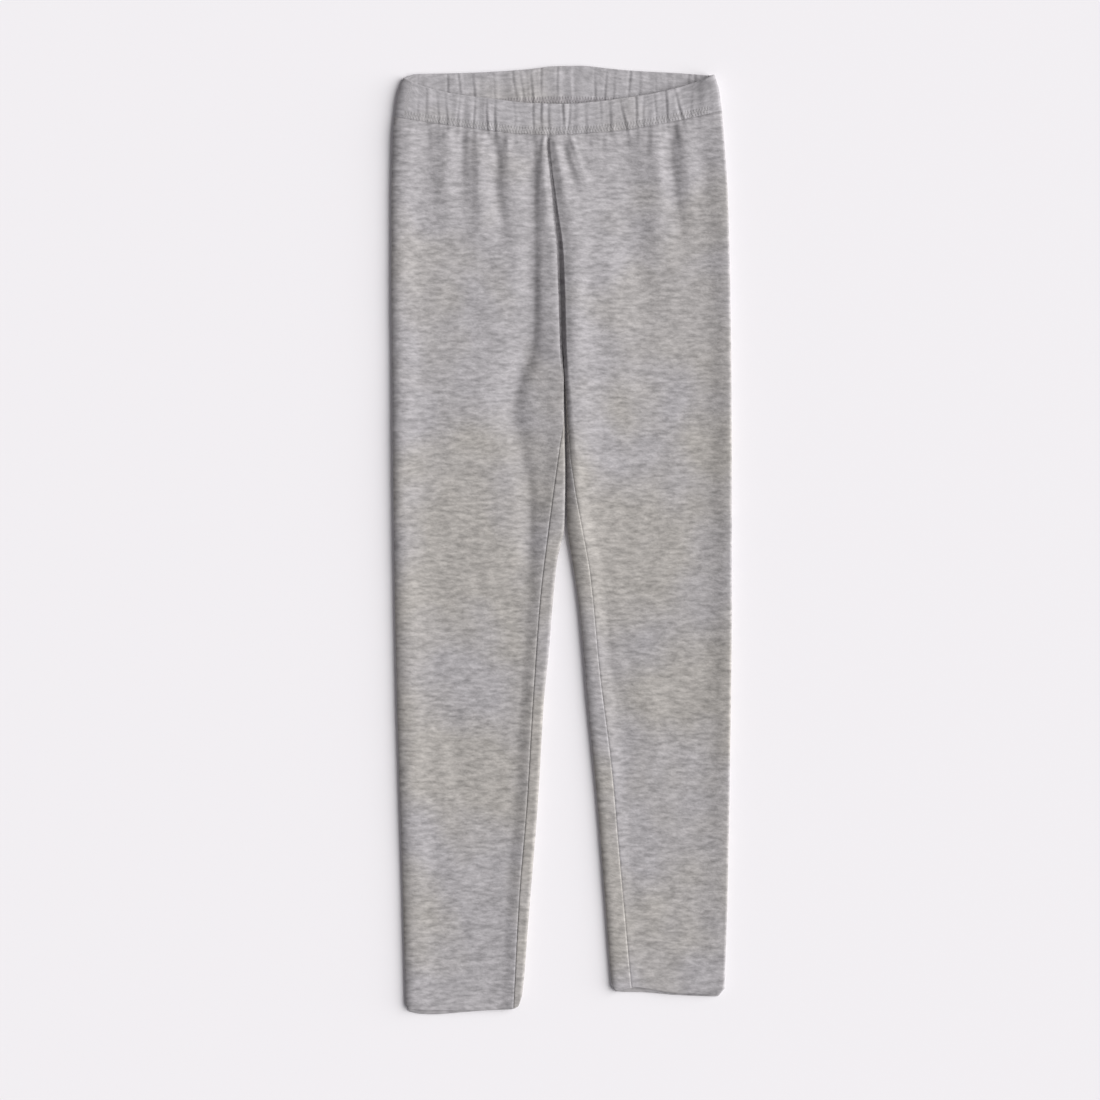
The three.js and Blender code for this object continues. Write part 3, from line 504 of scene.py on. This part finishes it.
def leg_section(leg, level):
    """Section through a leg, as rows of out, z, front share, facing out, facing up and run."""
    limit = leg.limit(level)
    below = level < CROTCH
    turn = float(leg.inner_turn(min(level, CROTCH)))
    outermost = float(leg.outer(level))
    side_turn = float(leg.side_turn(level))
    seam = max(limit, float(leg.inseam(level))) if below else limit
    seam_trim = SEAM_GAP / 2 if below else SEAM_GAP / 2 * roundness(level)
    lead_end = max(limit + turn + LEAD_BEYOND_TURN, seam + LEAD_SHORTEST)

    def along_front(start, end, steps, eased, front_from=1.0):
        t = np.linspace(0, 1, steps + 1)
        out = mix(start, end, t * t if eased else t)
        return np.stack([out, front_height(leg, out, level), mix(front_from, 1.0, t)], 1)

    lead = trim_start(along_front(seam, lead_end, PATH_STEPS["lead"], True), seam_trim)
    front = along_front(lead_end, outermost - side_turn, PATH_STEPS["front"], False)

    angle = np.linspace(0, math.pi, PATH_STEPS["outer_fold"] + 1)
    widest = leg.widest_share * front[-1, 1]
    reach = np.where(angle < math.pi / 2, side_turn, leg.side_under)
    half_height = np.where(angle < math.pi / 2, front[-1, 1] - widest, widest)
    outer_fold = np.stack([
        outermost - reach * (1 - np.sin(angle)),
        widest + half_height * np.cos(angle),
        (1 + np.cos(angle)) / 2,
    ], 1)

    lift = 1.0 if below else float(smooth(1 - (level - CROTCH) / BACK_LIFT))
    seam_back = float(leg.side * centre_back(level)) + SEAM_GAP / 2
    back_limit = limit if below else mix(seam_back, limit, lift)
    tip = float(front_height(leg, np.array([limit]), level)[0])
    angle = np.linspace(0, math.pi / 2, PATH_STEPS["inner_fold"] + 1)
    rise = lift * (1 - np.cos(angle))
    under = mix(min(turn, leg.inner_under), leg.inner_under, smooth((CROTCH - level) / UNDER_GROWTH))
    inner_fold = np.stack([back_limit + under * (1 - np.sin(angle)), tip * rise, rise / 2], 1)
    back_out = np.linspace(outer_fold[-1, 0], inner_fold[0, 0], PATH_STEPS["back"] + 1)
    back = np.stack([back_out, np.zeros_like(back_out), np.zeros_like(back_out)], 1)
    if below and seam > limit:
        over_top = along_front(limit, seam, PATH_STEPS["inner_fold"], True, 0.5)
        inner_fold = np.vstack([inner_fold, over_top[1:]])
    inner_fold = trim_start(inner_fold[::-1], seam_trim)[::-1]

    parts = {"lead": lead, "front": front, "outer_fold": outer_fold, "back": back, "inner_fold": inner_fold}
    path = np.vstack([part if i == 0 else part[1:] for i, part in enumerate(parts.values())])
    ahead = np.vstack([path[1:], path[-1:]])
    behind = np.vstack([path[:1], path[:-1]])
    step = ahead - behind
    length = np.hypot(step[:, 0], step[:, 1])
    facing = np.stack([-step[:, 1] / length, step[:, 0] / length], 1)
    run = running_length(path[:, :2])
    run_to_side = run[int(np.argmax(path[:, 0]))]
    path = np.hstack([path, facing, (run - run_to_side)[:, None]])

    samples = []
    first = 0
    for name, part in parts.items():
        last = first + len(part) - 1
        points = resample(path[first : last + 1], run[first : last + 1], COLUMNS[name])
        samples.append(points if first == 0 else points[1:])
        first = last
    return np.vstack(samples), seam


def unevenness(x, y, settings, seed):
    """Slow unevenness of soft cloth, from smooth noise of a given height and size."""
    height, across, along = settings
    values = [noise.noise(Vector((px / across, py / along, seed))) for px, py in zip(x, y)]
    return height * np.array(values)


def pucker_relief(x, y):
    """Short puckers that hang from the casing's seam."""
    below_seam = casing_front(x) - y
    total = np.zeros_like(x)
    for place, length, width, depth, lean in SEAM_PUCKERS:
        aside = x - place - lean * below_seam
        hang = np.exp(-((np.maximum(below_seam, 0) / length) ** PUCKER_POWER))
        roll = PUCKER_ROLL * bell(aside - PUCKER_ROLL_OFFSET * width, width)
        total += depth * hang * (roll - bell(aside, width))
    return total


def inseam_relief(aside, level):
    """The dip where an inseam's edges meet, and its small cross puckers."""
    strength = smooth((CROTCH - level) / INSEAM_GROWTH)
    phase = 2 * math.pi * level / INSEAM_PUCKER_PITCH
    shift = INSEAM_UNEVEN[0] * math.sin(INSEAM_UNEVEN[1] * phase)
    ripple = math.sin(phase + shift) * INSEAM_PUCKER
    dip = INSEAM_DIP * bell(aside, INSEAM_DIP_SPREAD)
    return strength * (ripple * bell(aside, INSEAM_PUCKER_REACH) - dip)


def fine_relief(leg, section, seam, level):
    """What the right side adds to the plain section along the way it faces."""
    out, front = section[:, 0], section[:, 2]
    x = leg.side * out
    y = leg.lengthwise(x, front, level)
    on_front = smooth((front - RELIEF_START) / RELIEF_GROWTH)
    relief = unevenness(x, y, UNEVEN_BROAD, BROAD_SEED) + unevenness(x, y, UNEVEN_FINE, FINE_SEED)
    relief += pucker_relief(x, y)
    if level < CROTCH:
        relief += inseam_relief(np.abs(out - seam), level)
    else:
        relief -= CENTRE_DIP * bell(out - leg.limit(level), SEAM_DIP_SPREAD) * (1 - roundness(level))
    return relief * on_front * (1 - bell(casing_front(x) - y, JOIN_REACH))


def join_shift(section, side_height, x, y):
    """How far the front moves up or down to meet the gathered foot of the casing."""
    foot = casing.front_point(np.clip(x, casing.start[0], casing.end[0]), 0.0, 0.0)[:, 2]
    own = np.where(section[:, 2] > FULL_FRONT, section[:, 1], side_height)
    return (foot - own) * section[:, 2] * bell(casing_front(x) - y, JOIN_REACH)


def edge_share(distance, wall):
    """How thick the wall still is near a turned edge, as a share: it closes in a half circle."""
    inside = np.clip(1 - distance / (wall / 2), 0, 1)
    return max(THINNEST_EDGE, math.sqrt(1 - inside**2))


def row_levels(leg):
    hem_end = leg.hem_level + EDGE_ROWS[0]
    upper = np.linspace(PANEL_TOP, CROTCH, round((PANEL_TOP - CROTCH) / UPPER_ROW_STEP) + 1)
    lower = np.linspace(CROTCH, hem_end, round((CROTCH - hem_end) / LOWER_ROW_STEP) + 1)
    edge = [leg.hem_level + distance for distance in EDGE_ROWS]
    return np.concatenate([upper, lower[1:], edge[1:]])


def leg_points(leg):
    """The right side, the wrong side and the cloth coordinates of one leg, as grids of points."""
    right_side, wrong_side, cloth = [], [], []
    for level in row_levels(leg):
        section, seam = leg_section(leg, level)
        in_hem = smooth((leg.hem_level + HEM_DEPTH + HEM_STEP / 2 - level) / HEM_STEP)
        wall = mix(CLOTH, HEM_CLOTH, in_hem)
        share = edge_share(level - leg.hem_level, wall)
        relief = fine_relief(leg, section, seam, level) * share
        x = leg.side * section[:, 0]
        y = leg.lengthwise(x, section[:, 2], level)
        z = section[:, 1]
        if PANEL_TOP - level < JOIN_LIMIT:
            side_height = float(z[np.argmax(section[:, 2] < FULL_FRONT) - 1])
            z = z + join_shift(section, side_height, x, y)

        def place(depth):
            moved_x = x - depth * leg.side * section[:, 3]
            return np.stack([moved_x, y, z - depth * section[:, 4]], 1)

        right_side.append(place(wall * (1 - share) / 2 - relief))
        wrong_side.append(place(wall * (1 + share) / 2))
        cloth.append(np.stack([section[:, 5] + leg.side * CLOTH_APART, y], 1))
    return np.array(right_side), np.array(wrong_side), np.array(cloth)


def mesh_object(name, points, quads, rounded, cloth, material):
    """A mesh from points in millimetres, with cloth coordinates in millimetres for its material."""
    mesh = bpy.data.meshes.new(name)
    mesh.from_pydata((points * MM).tolist(), [], quads.tolist())
    layer = mesh.uv_layers.new(name="cloth")
    layer.data.foreach_set("uv", cloth[quads.ravel()].astype(np.float32).ravel())
    mesh.polygons.foreach_set("use_smooth", rounded)
    mesh.materials.append(material)
    mesh.update()
    piece = bpy.data.objects.new(name, mesh)
    bpy.context.scene.collection.objects.link(piece)
    return piece


def shell_quads(rows, columns):
    """Quads of a closed shell, two grids of points and a rim all round, and which of them are rounded."""
    r, c = np.meshgrid(np.arange(rows - 1), np.arange(columns - 1), indexing="ij")
    outer = (r * columns + c).ravel()
    inner = outer + rows * columns
    grid = np.stack([outer, outer + 1, outer + columns + 1, outer + columns], 1)
    back = np.stack([inner, inner + columns, inner + columns + 1, inner + 1], 1)
    line = np.arange(rows - 1) * columns
    start = np.stack([line, line + columns, line + columns + rows * columns, line + rows * columns], 1)
    end = start[:, ::-1] + columns - 1
    across = np.arange(columns - 1)
    top = np.stack([across, across + rows * columns, across + 1 + rows * columns, across + 1], 1)
    bottom = top[:, ::-1] + (rows - 1) * columns
    quads = np.vstack([grid, back, start, end, bottom, top])
    return quads, np.arange(len(quads)) < len(quads) - len(top)


def make_leg(name, leg, material):
    right_side, wrong_side, cloth = leg_points(leg)
    rows, columns = right_side.shape[:2]
    points = np.vstack([right_side.reshape(-1, 3), wrong_side.reshape(-1, 3)])
    quads, rounded = shell_quads(rows, columns)
    if leg.side > 0:
        quads = quads[:, ::-1]
    cloth = np.vstack([cloth.reshape(-1, 2), cloth.reshape(-1, 2)])
    return mesh_object(name, points, quads, rounded, cloth, material)


class Casing:
    """The waist casing as a function of place: across, level and depth through the wall."""

    def __init__(self):
        self.left = curve(CASING_LEFT_EDGE)
        self.right = curve(CASING_RIGHT_EDGE)
        self.height = curve(CASING_HEIGHT)
        self.rise_left = curve(CASING_RISE_LEFT)
        self.rise_right = curve(CASING_RISE_RIGHT)
        self.start = {level: float(self.left(level)) + CASING_TURN_LEFT for level in (0, 1)}
        self.end = {level: float(self.right(level)) - CASING_TURN_RIGHT for level in (0, 1)}

    def face(self, x, level):
        """Height of the front's face without its gathers."""
        left = self.rise_left(level) * bell(x - mix(self.start[0], self.start[1], level), SIDE_SPREAD)
        right = self.rise_right(level) * bell(x - mix(self.end[0], self.end[1], level), SIDE_SPREAD)
        return self.height(level) + left + right

    def gathered(self, gathers, x, level):
        """How far the gathers pull the face in, or roll it out where the sum is negative."""
        total = np.zeros_like(x)
        for top, foot, depth in gathers:
            deepest = (1 + math.sin(GATHER_VARIETY * foot)) / 2
            ease = 1 - GATHER_FADE * smooth(abs(level - deepest))
            aside = x - mix(foot, top, level) - GATHER_BEND * math.sin(GATHER_BENDS * level + foot)
            dip = GATHER_DIP * bell(aside, GATHER_DIP_SPREAD)
            roll = GATHER_ROLL * bell(aside - GATHER_ROLL_OFFSET, GATHER_ROLL_SPREAD)
            total += depth * ease * (dip - roll)
        return total * (1 - GATHER_EASE_AT_TOP * level)

    def across(self, share, level):
        return mix(mix(self.start[0], self.end[0], share), mix(self.start[1], self.end[1], share), level)

    def lengthwise(self, x, front, level):
        foot = mix(casing_back(x), casing_front(x), front)
        top = mix(waist_back(x), waist_front(x), front)
        return mix(foot, top, level)

    def waves(self, x, y, level, seed):
        """Small uneven waves between the gathers, none at the sides."""
        start, end = mix(self.start[0], self.start[1], level), mix(self.end[0], self.end[1], level)
        fade = smooth((x - start) / WAVES_FADE) * smooth((end - x) / WAVES_FADE)
        return unevenness(x, y, GATHER_WAVES, seed) * fade

    def front_point(self, x, level, inside):
        y = self.lengthwise(x, 1.0, level)
        pulled = self.gathered(FRONT_GATHERS, x, level) + self.waves(x, y, level, FRONT_SEED)
        return np.stack([x, y, self.face(x, level) - mix(pulled, CASING_WALL, inside)], 1)

    def back_point(self, x, level, inside):
        y = self.lengthwise(x, 0.0, level)
        pulled = self.gathered(BACK_GATHERS, x, level) + self.waves(x, y, level, BACK_SEED)
        return np.stack([x, y, mix(0.0, CASING_WALL - pulled, inside)], 1)

    def side_points(self, edge, sign, level, inside):
        turn = CASING_TURN_LEFT if sign < 0 else CASING_TURN_RIGHT
        under = UNDER_LEFT if sign < 0 else UNDER_RIGHT
        share = WIDEST_SHARE_LEFT if sign < 0 else WIDEST_SHARE_RIGHT
        angle = math.pi * np.arange(1, CASING_FOLD_COLUMNS) / CASING_FOLD_COLUMNS
        upper = angle < math.pi / 2
        limit = float(edge(level))
        top = float(self.face(np.array([limit - sign * turn]), level)[0])
        thick = CASING_WALL * inside
        # Towards the inside the loop shrinks about its widest place
        widest = top * share
        half_height = np.where(upper, top - widest, widest)
        reach = np.where(upper, turn, under)
        centre = limit - sign * reach
        x = centre + sign * (reach - thick) * np.sin(angle)
        z = widest + (half_height - thick) * np.cos(angle)
        return np.stack([x, self.lengthwise(x, (1 + np.cos(angle)) / 2, level), z], 1)

    def ring(self, level, inside):
        """One closed line of points round the waist."""
        columns = round((self.end[0] - self.start[0]) / CASING_COLUMN_STEP)
        x = self.across(np.linspace(0, 1, columns + 1), level)
        return np.vstack([
            self.front_point(x, level, inside),
            self.side_points(self.right, 1, level, inside),
            self.back_point(x, level, inside)[::-1],
            self.side_points(self.left, -1, level, inside)[::-1],
        ])


def make_casing(casing, material):
    loop = [(level, 0.0) for level in CASING_LEVELS]
    loop += ROLLED_EDGE
    loop += [(level, 1.0) for level in CASING_LEVELS[::-1]]
    grid = np.array([casing.ring(level, inside) for level, inside in loop])
    levels, columns = grid.shape[:2]
    i, c = np.meshgrid(np.arange(levels), np.arange(columns), indexing="ij")

    def point_number(row, column):
        return ((row % levels) * columns + column % columns).ravel()

    steps = ((0, 1), (1, 1), (1, 0), (0, 0))
    quads = np.stack([point_number(i + up, c + along) for up, along in steps], 1)
    round_waist = running_length(grid[0]) + CASING_CLOTH[0]
    up_wall = running_length(grid[:, 0]) + CASING_CLOTH[1]
    cloth = np.stack(np.meshgrid(round_waist, up_wall), -1).reshape(-1, 2)
    rounded = np.arange(len(quads)) < len(quads) - columns
    return mesh_object("waistband_cloth", grid.reshape(-1, 3), quads, rounded, cloth, material)


def thread_object(name, path, material):
    """A round thread along a path of points in millimetres, as a closed tube."""
    angle = 2 * math.pi * np.arange(THREAD_SIDES) / THREAD_SIDES
    along = np.gradient(path, axis=0)
    along /= np.linalg.norm(along, axis=1)[:, None]
    side = np.cross(along, [0.0, 0.0, 1.0])
    side /= np.linalg.norm(side, axis=1)[:, None]
    lift = np.cross(side, along)
    round_way = side[:, None] * np.cos(angle)[:, None] + lift[:, None] * np.sin(angle)[:, None]
    points = (path[:, None] + THREAD_RADIUS * round_way).reshape(-1, 3)
    faces = []
    for ring in range(len(path) - 1):
        here = ring * THREAD_SIDES
        for i in range(THREAD_SIDES):
            j = (i + 1) % THREAD_SIDES
            faces.append((here + i, here + j, here + j + THREAD_SIDES, here + i + THREAD_SIDES))
    last = (len(path) - 1) * THREAD_SIDES
    faces.append(tuple(reversed(range(THREAD_SIDES))))
    faces.append(tuple(last + i for i in range(THREAD_SIDES)))
    mesh = bpy.data.meshes.new(name)
    mesh.from_pydata((points * MM).tolist(), [], faces)
    mesh.polygons.foreach_set("use_smooth", np.ones(len(faces), bool))
    mesh.materials.append(material)
    mesh.update()
    piece = bpy.data.objects.new(name, mesh)
    bpy.context.scene.collection.objects.link(piece)
    return piece


def stitched_band(casing, on_front, band, start, end):
    """A zigzag thread along the casing, between two heights above its foot."""
    foot, rim = (casing_front, waist_front) if on_front else (casing_back, waist_back)
    count = round((end - start) / STITCH_PITCH)
    corners_x, corners_rise = [], []
    for i in range(count):
        x = start + i * STITCH_PITCH
        corners_x += [x, x + STITCH_LEAN]
        corners_rise += band
    steps = np.linspace(0, len(corners_x) - 1, (len(corners_x) - 1) * STROKE_STEPS + 1)
    x = np.interp(steps, np.arange(len(corners_x)), corners_x)
    rise = np.interp(steps, np.arange(len(corners_x)), corners_rise)
    level = rise / (rim(x) - foot(x))
    face = casing.front_point if on_front else casing.back_point
    path = np.array([face(np.array([px]), at, 0.0 if on_front else 1.0)[0] for px, at in zip(x, level)])
    path[:, 2] += THREAD_LIFT
    return path


# Materials: base colours, and how strongly the streaks show in each jersey
PANEL_GREY = (0.363, 0.346, 0.338)
CASING_GREY = (0.371, 0.355, 0.349)
THREAD_GREY = (0.42, 0.405, 0.405)
# Looper thread: a darker, more purple grey than the cover thread, partly its own colour and partly painted
# shade of the hollow under the front casing's rim
LOOPER_GREY_AND_SHADE = (0.34, 0.315, 0.33)
FLOOR_COLOUR = (0.80, 0.78, 0.798)
PANEL_CONTRAST = 1.0
CASING_CONTRAST = 0.75

# Noise of the jersey: length and height in millimetres, detail, roughness, spread of its values
JERSEY_NOISE = {
    "long": ((11.2, 3.3), 1.0, 0.5, 0.2),
    "short": ((5.6, 2.3), 1.0, 0.5, 0.2),
    "fibres": ((2.2, 1.0), 2.0, 0.55, 0.25),
    "patches": ((30.0, 18.0), 2.0, 0.5, 0.2),
}
STREAK_SHADES = {"long": 0.155, "short": 0.14, "fibres": 0.028}
PATCH_SHADE = 0.02
NOISE_SLANT = (0.8, 0.6, 0.3)
COURSE_SWAY = 1.2
SWAY_SIZE = (40.0, 20.0)

# Slow changes along the garment: y where each starts and ends, and its values there
LENGTHWISE_SHADE = (-60.0, 110.0, 0.97, 1.0)
UPPER_TINT = (85.0, 165.0, 0.0, 0.8)
HEM_TINT = (-360.0, -290.0, 0.4, 0.0)
TINT_SIZE = (90.0, 100.0)
TINT_RANGE = (0.36, 0.64, -0.35, 0.95)
WARM = (1.012, 1.0, 0.965)
COOL = (0.992, 0.995, 1.045)

# Surfaces: the jersey's fine relief and finish, and the thread's fibres with their two shades
KNIT_RELIEF = 0.35
KNIT_STRENGTH = 0.2
JERSEY_FINISH = {"Roughness": 0.92, "Specular IOR Level": 0.25, "Sheen Weight": 0.05, "Sheen Roughness": 0.5}
THREAD_NOISE_SCALE = 900.0
THREAD_SHADES = (0.8, 1.15)
THREAD_ROUGHNESS = 0.7
FLOOR_ROUGHNESS = 0.9


def add_node(tree, kind, **settings):
    node = tree.nodes.new(kind)
    for name, value in settings.items():
        setattr(node, name, value)
    return node


def streaks(tree, coordinates, size, detail, roughness):
    """Smooth noise, cut at a slant and stretched to streaks of a given length and height in millimetres."""
    mapping = add_node(tree, "ShaderNodeMapping", vector_type="POINT")
    mapping.inputs["Rotation"].default_value = NOISE_SLANT
    mapping.inputs["Location"].default_value = (0.0, 0.0, size[0])
    mapping.inputs["Scale"].default_value = (1 / size[0], 1 / size[1], 1.0)
    field = add_node(tree, "ShaderNodeTexNoise", noise_dimensions="3D")
    field.inputs["Scale"].default_value = 1.0
    field.inputs["Detail"].default_value = detail
    field.inputs["Roughness"].default_value = roughness
    tree.links.new(coordinates, mapping.inputs["Vector"])
    tree.links.new(mapping.outputs["Vector"], field.inputs["Vector"])
    return field.outputs["Fac"]


def remap(tree, value, low, high, new_low, new_high):
    node = add_node(tree, "ShaderNodeMapRange", clamp=True)
    for name, number in zip(("From Min", "From Max", "To Min", "To Max"), (low, high, new_low, new_high)):
        node.inputs[name].default_value = number
    tree.links.new(value, node.inputs["Value"])
    return node.outputs["Result"]


def maths(tree, operation, a, b):
    node = add_node(tree, "ShaderNodeMath", operation=operation)
    for socket, value in zip(node.inputs, (a, b)):
        if isinstance(value, (int, float)):
            socket.default_value = value
        else:
            tree.links.new(value, socket)
    return node.outputs["Value"]


def wavy_coordinates(tree):
    """Cloth coordinates in millimetres, with the courses slightly wavy."""
    source = add_node(tree, "ShaderNodeUVMap", uv_map="cloth")
    sway = streaks(tree, source.outputs["UV"], SWAY_SIZE, 1.0, 0.5)
    offset = add_node(tree, "ShaderNodeCombineXYZ")
    tree.links.new(remap(tree, sway, 0.0, 1.0, -COURSE_SWAY, COURSE_SWAY), offset.inputs["Y"])
    added = add_node(tree, "ShaderNodeVectorMath", operation="ADD")
    tree.links.new(source.outputs["UV"], added.inputs[0])
    tree.links.new(offset.outputs["Vector"], added.inputs[1])
    return added.outputs["Vector"]


def lengthwise_place(tree):
    """The cloth coordinate along the garment, in millimetres."""
    source = add_node(tree, "ShaderNodeUVMap", uv_map="cloth")
    parts = add_node(tree, "ShaderNodeSeparateXYZ")
    tree.links.new(source.outputs["UV"], parts.inputs["Vector"])
    return parts.outputs["Y"]


def jersey_noise(tree, coordinates, kind):
    """One of the jersey's kinds of noise, with values from -1 to 1."""
    size, detail, roughness, spread = JERSEY_NOISE[kind]
    field = streaks(tree, coordinates, size, detail, roughness)
    return remap(tree, field, 0.5 - spread, 0.5 + spread, -1, 1)


def jersey(name, grey, contrast):
    """Heather grey jersey: light and dark streaks along the courses over slow shifts of tint."""
    material = bpy.data.materials.new(name)
    material.use_nodes = True
    tree = material.node_tree
    shader = tree.nodes["Principled BSDF"]
    coordinates = wavy_coordinates(tree)
    fields = {kind: jersey_noise(tree, coordinates, kind) for kind in JERSEY_NOISE}
    place = lengthwise_place(tree)
    shade = remap(tree, place, *LENGTHWISE_SHADE)
    for kind, strength in STREAK_SHADES.items():
        shade = maths(tree, "ADD", shade, maths(tree, "MULTIPLY", fields[kind], strength * contrast))
    shade = maths(tree, "ADD", shade, maths(tree, "MULTIPLY", fields["patches"], PATCH_SHADE))

    tint = add_node(tree, "ShaderNodeMix", data_type="RGBA", blend_type="MIX")
    tint.inputs["A"].default_value = (*[value * share for value, share in zip(grey, WARM)], 1)
    tint.inputs["B"].default_value = (*[value * share for value, share in zip(grey, COOL)], 1)
    hue = remap(tree, streaks(tree, coordinates, TINT_SIZE, 2.0, 0.5), *TINT_RANGE)
    upper = remap(tree, place, *UPPER_TINT)
    hem = remap(tree, place, *HEM_TINT)
    tree.links.new(maths(tree, "ADD", hue, maths(tree, "ADD", upper, hem)), tint.inputs["Factor"])
    scaled = add_node(tree, "ShaderNodeVectorMath", operation="SCALE")
    tree.links.new(tint.outputs["Result"], scaled.inputs[0])
    tree.links.new(shade, scaled.inputs["Scale"])
    tree.links.new(scaled.outputs["Vector"], shader.inputs["Base Color"])

    bump = add_node(tree, "ShaderNodeBump")
    bump.inputs["Strength"].default_value = KNIT_STRENGTH
    bump.inputs["Distance"].default_value = KNIT_RELIEF * MM
    tree.links.new(maths(tree, "ADD", fields["short"], fields["fibres"]), bump.inputs["Height"])
    tree.links.new(bump.outputs["Normal"], shader.inputs["Normal"])
    for socket, value in JERSEY_FINISH.items():
        shader.inputs[socket].default_value = value
    return material


def thread_material(name, colour):
    """Spun sewing thread with fine light and dark fibres."""
    material = bpy.data.materials.new(name)
    material.use_nodes = True
    tree = material.node_tree
    shader = tree.nodes["Principled BSDF"]
    source = add_node(tree, "ShaderNodeTexCoord")
    field = add_node(tree, "ShaderNodeTexNoise")
    field.inputs["Scale"].default_value = THREAD_NOISE_SCALE
    tree.links.new(source.outputs["Object"], field.inputs["Vector"])
    ramp = add_node(tree, "ShaderNodeMix", data_type="RGBA")
    for socket, shade in zip("AB", THREAD_SHADES):
        ramp.inputs[socket].default_value = (*[value * shade for value in colour], 1)
    tree.links.new(field.outputs["Fac"], ramp.inputs["Factor"])
    tree.links.new(ramp.outputs["Result"], shader.inputs["Base Color"])
    shader.inputs["Roughness"].default_value = THREAD_ROUGHNESS
    return material


def plain_material(name, colour, roughness):
    material = bpy.data.materials.new(name)
    material.use_nodes = True
    shader = material.node_tree.nodes["Principled BSDF"]
    shader.inputs["Base Color"].default_value = (*colour, 1)
    shader.inputs["Roughness"].default_value = roughness
    return material


def make_camera():
    data = bpy.data.cameras.new("camera")
    camera = bpy.data.objects.new("camera", data)
    bpy.context.scene.collection.objects.link(camera)
    middle_px = PHOTO_SIDE_PX / 2
    x = (middle_px - ORIGIN_PX[0]) * MM_PER_PX
    y = (ORIGIN_PX[1] - middle_px) * MM_PER_PX
    camera.location = (x * MM, y * MM, CAMERA_HEIGHT * MM)
    data.sensor_width = SENSOR_WIDTH
    data.lens = SENSOR_WIDTH * CAMERA_HEIGHT / (PHOTO_SIDE_PX * MM_PER_PX)
    data.clip_end = CAMERA_REACH * MM
    bpy.context.scene.camera = camera


# Light: a large soft lamp on the right, and an even pale surround
LAMP_ELEVATION = math.radians(33)
LAMP_AZIMUTH = math.radians(5)
LAMP_STRENGTH = 4.95
LAMP_SOFTNESS = math.radians(66)
SURROUND_COLOUR = (0.905, 0.895, 0.93)
SURROUND_STRENGTH = 0.272
FLOOR_SIDE = 12.0
FLOOR_DROP = 0.15


def make_stage():
    scene = bpy.context.scene
    scene.view_settings.view_transform = "Standard"
    world = bpy.data.worlds.new("surround")
    world.use_nodes = True
    background = world.node_tree.nodes["Background"]
    background.inputs["Color"].default_value = (*SURROUND_COLOUR, 1)
    background.inputs["Strength"].default_value = SURROUND_STRENGTH
    scene.world = world

    lamp = bpy.data.lights.new("lamp", "SUN")
    lamp.energy = LAMP_STRENGTH
    lamp.angle = LAMP_SOFTNESS
    lamp_object = bpy.data.objects.new("lamp", lamp)
    towards = Vector((
        math.cos(LAMP_ELEVATION) * math.cos(LAMP_AZIMUTH),
        math.cos(LAMP_ELEVATION) * math.sin(LAMP_AZIMUTH),
        math.sin(LAMP_ELEVATION),
    ))
    lamp_object.rotation_euler = towards.to_track_quat("Z", "Y").to_euler()
    scene.collection.objects.link(lamp_object)

    half = FLOOR_SIDE / 2
    mesh = bpy.data.meshes.new("floor")
    corners = [(-half, -half, 0), (half, -half, 0), (half, half, 0), (-half, half, 0)]
    mesh.from_pydata(corners, [], [(0, 1, 2, 3)])
    mesh.materials.append(plain_material("pale_floor", FLOOR_COLOUR, FLOOR_ROUGHNESS))
    floor = bpy.data.objects.new("floor", mesh)
    floor.location.z = -FLOOR_DROP * MM
    scene.collection.objects.link(floor)


make_camera()
make_stage()

panel_jersey = jersey("panel_jersey", PANEL_GREY, PANEL_CONTRAST)
casing_jersey = jersey("casing_jersey", CASING_GREY, CASING_CONTRAST)

casing = Casing()
left_leg = make_leg("leg_cloth_left", LEFT_LEG, panel_jersey)
right_leg = make_leg("leg_cloth_right", RIGHT_LEG, panel_jersey)
waistband = make_casing(casing, casing_jersey)
front_band = stitched_band(casing, True, COVER_BAND, *STITCH_ENDS)
back_band = stitched_band(casing, False, LOOPER_BAND, *STITCH_ENDS)
cover_stitch = thread_object("cover_stitch", front_band, thread_material("pale_thread", THREAD_GREY))
# The looper thread's darker grey holds painted shade as well as its own colour
looper_stitch = thread_object("looper_stitch", back_band, thread_material("looper_thread_and_shade", LOOPER_GREY_AND_SHADE))

for piece, node, slot in (
    (left_leg, "leg_panel_left", "jersey"),
    (right_leg, "leg_panel_right", "jersey"),
    (waistband, "waistband", "casing_jersey"),
):
    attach(piece, "root")
    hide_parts(node)

for piece in (cover_stitch, looper_stitch):
    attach(piece, "root")
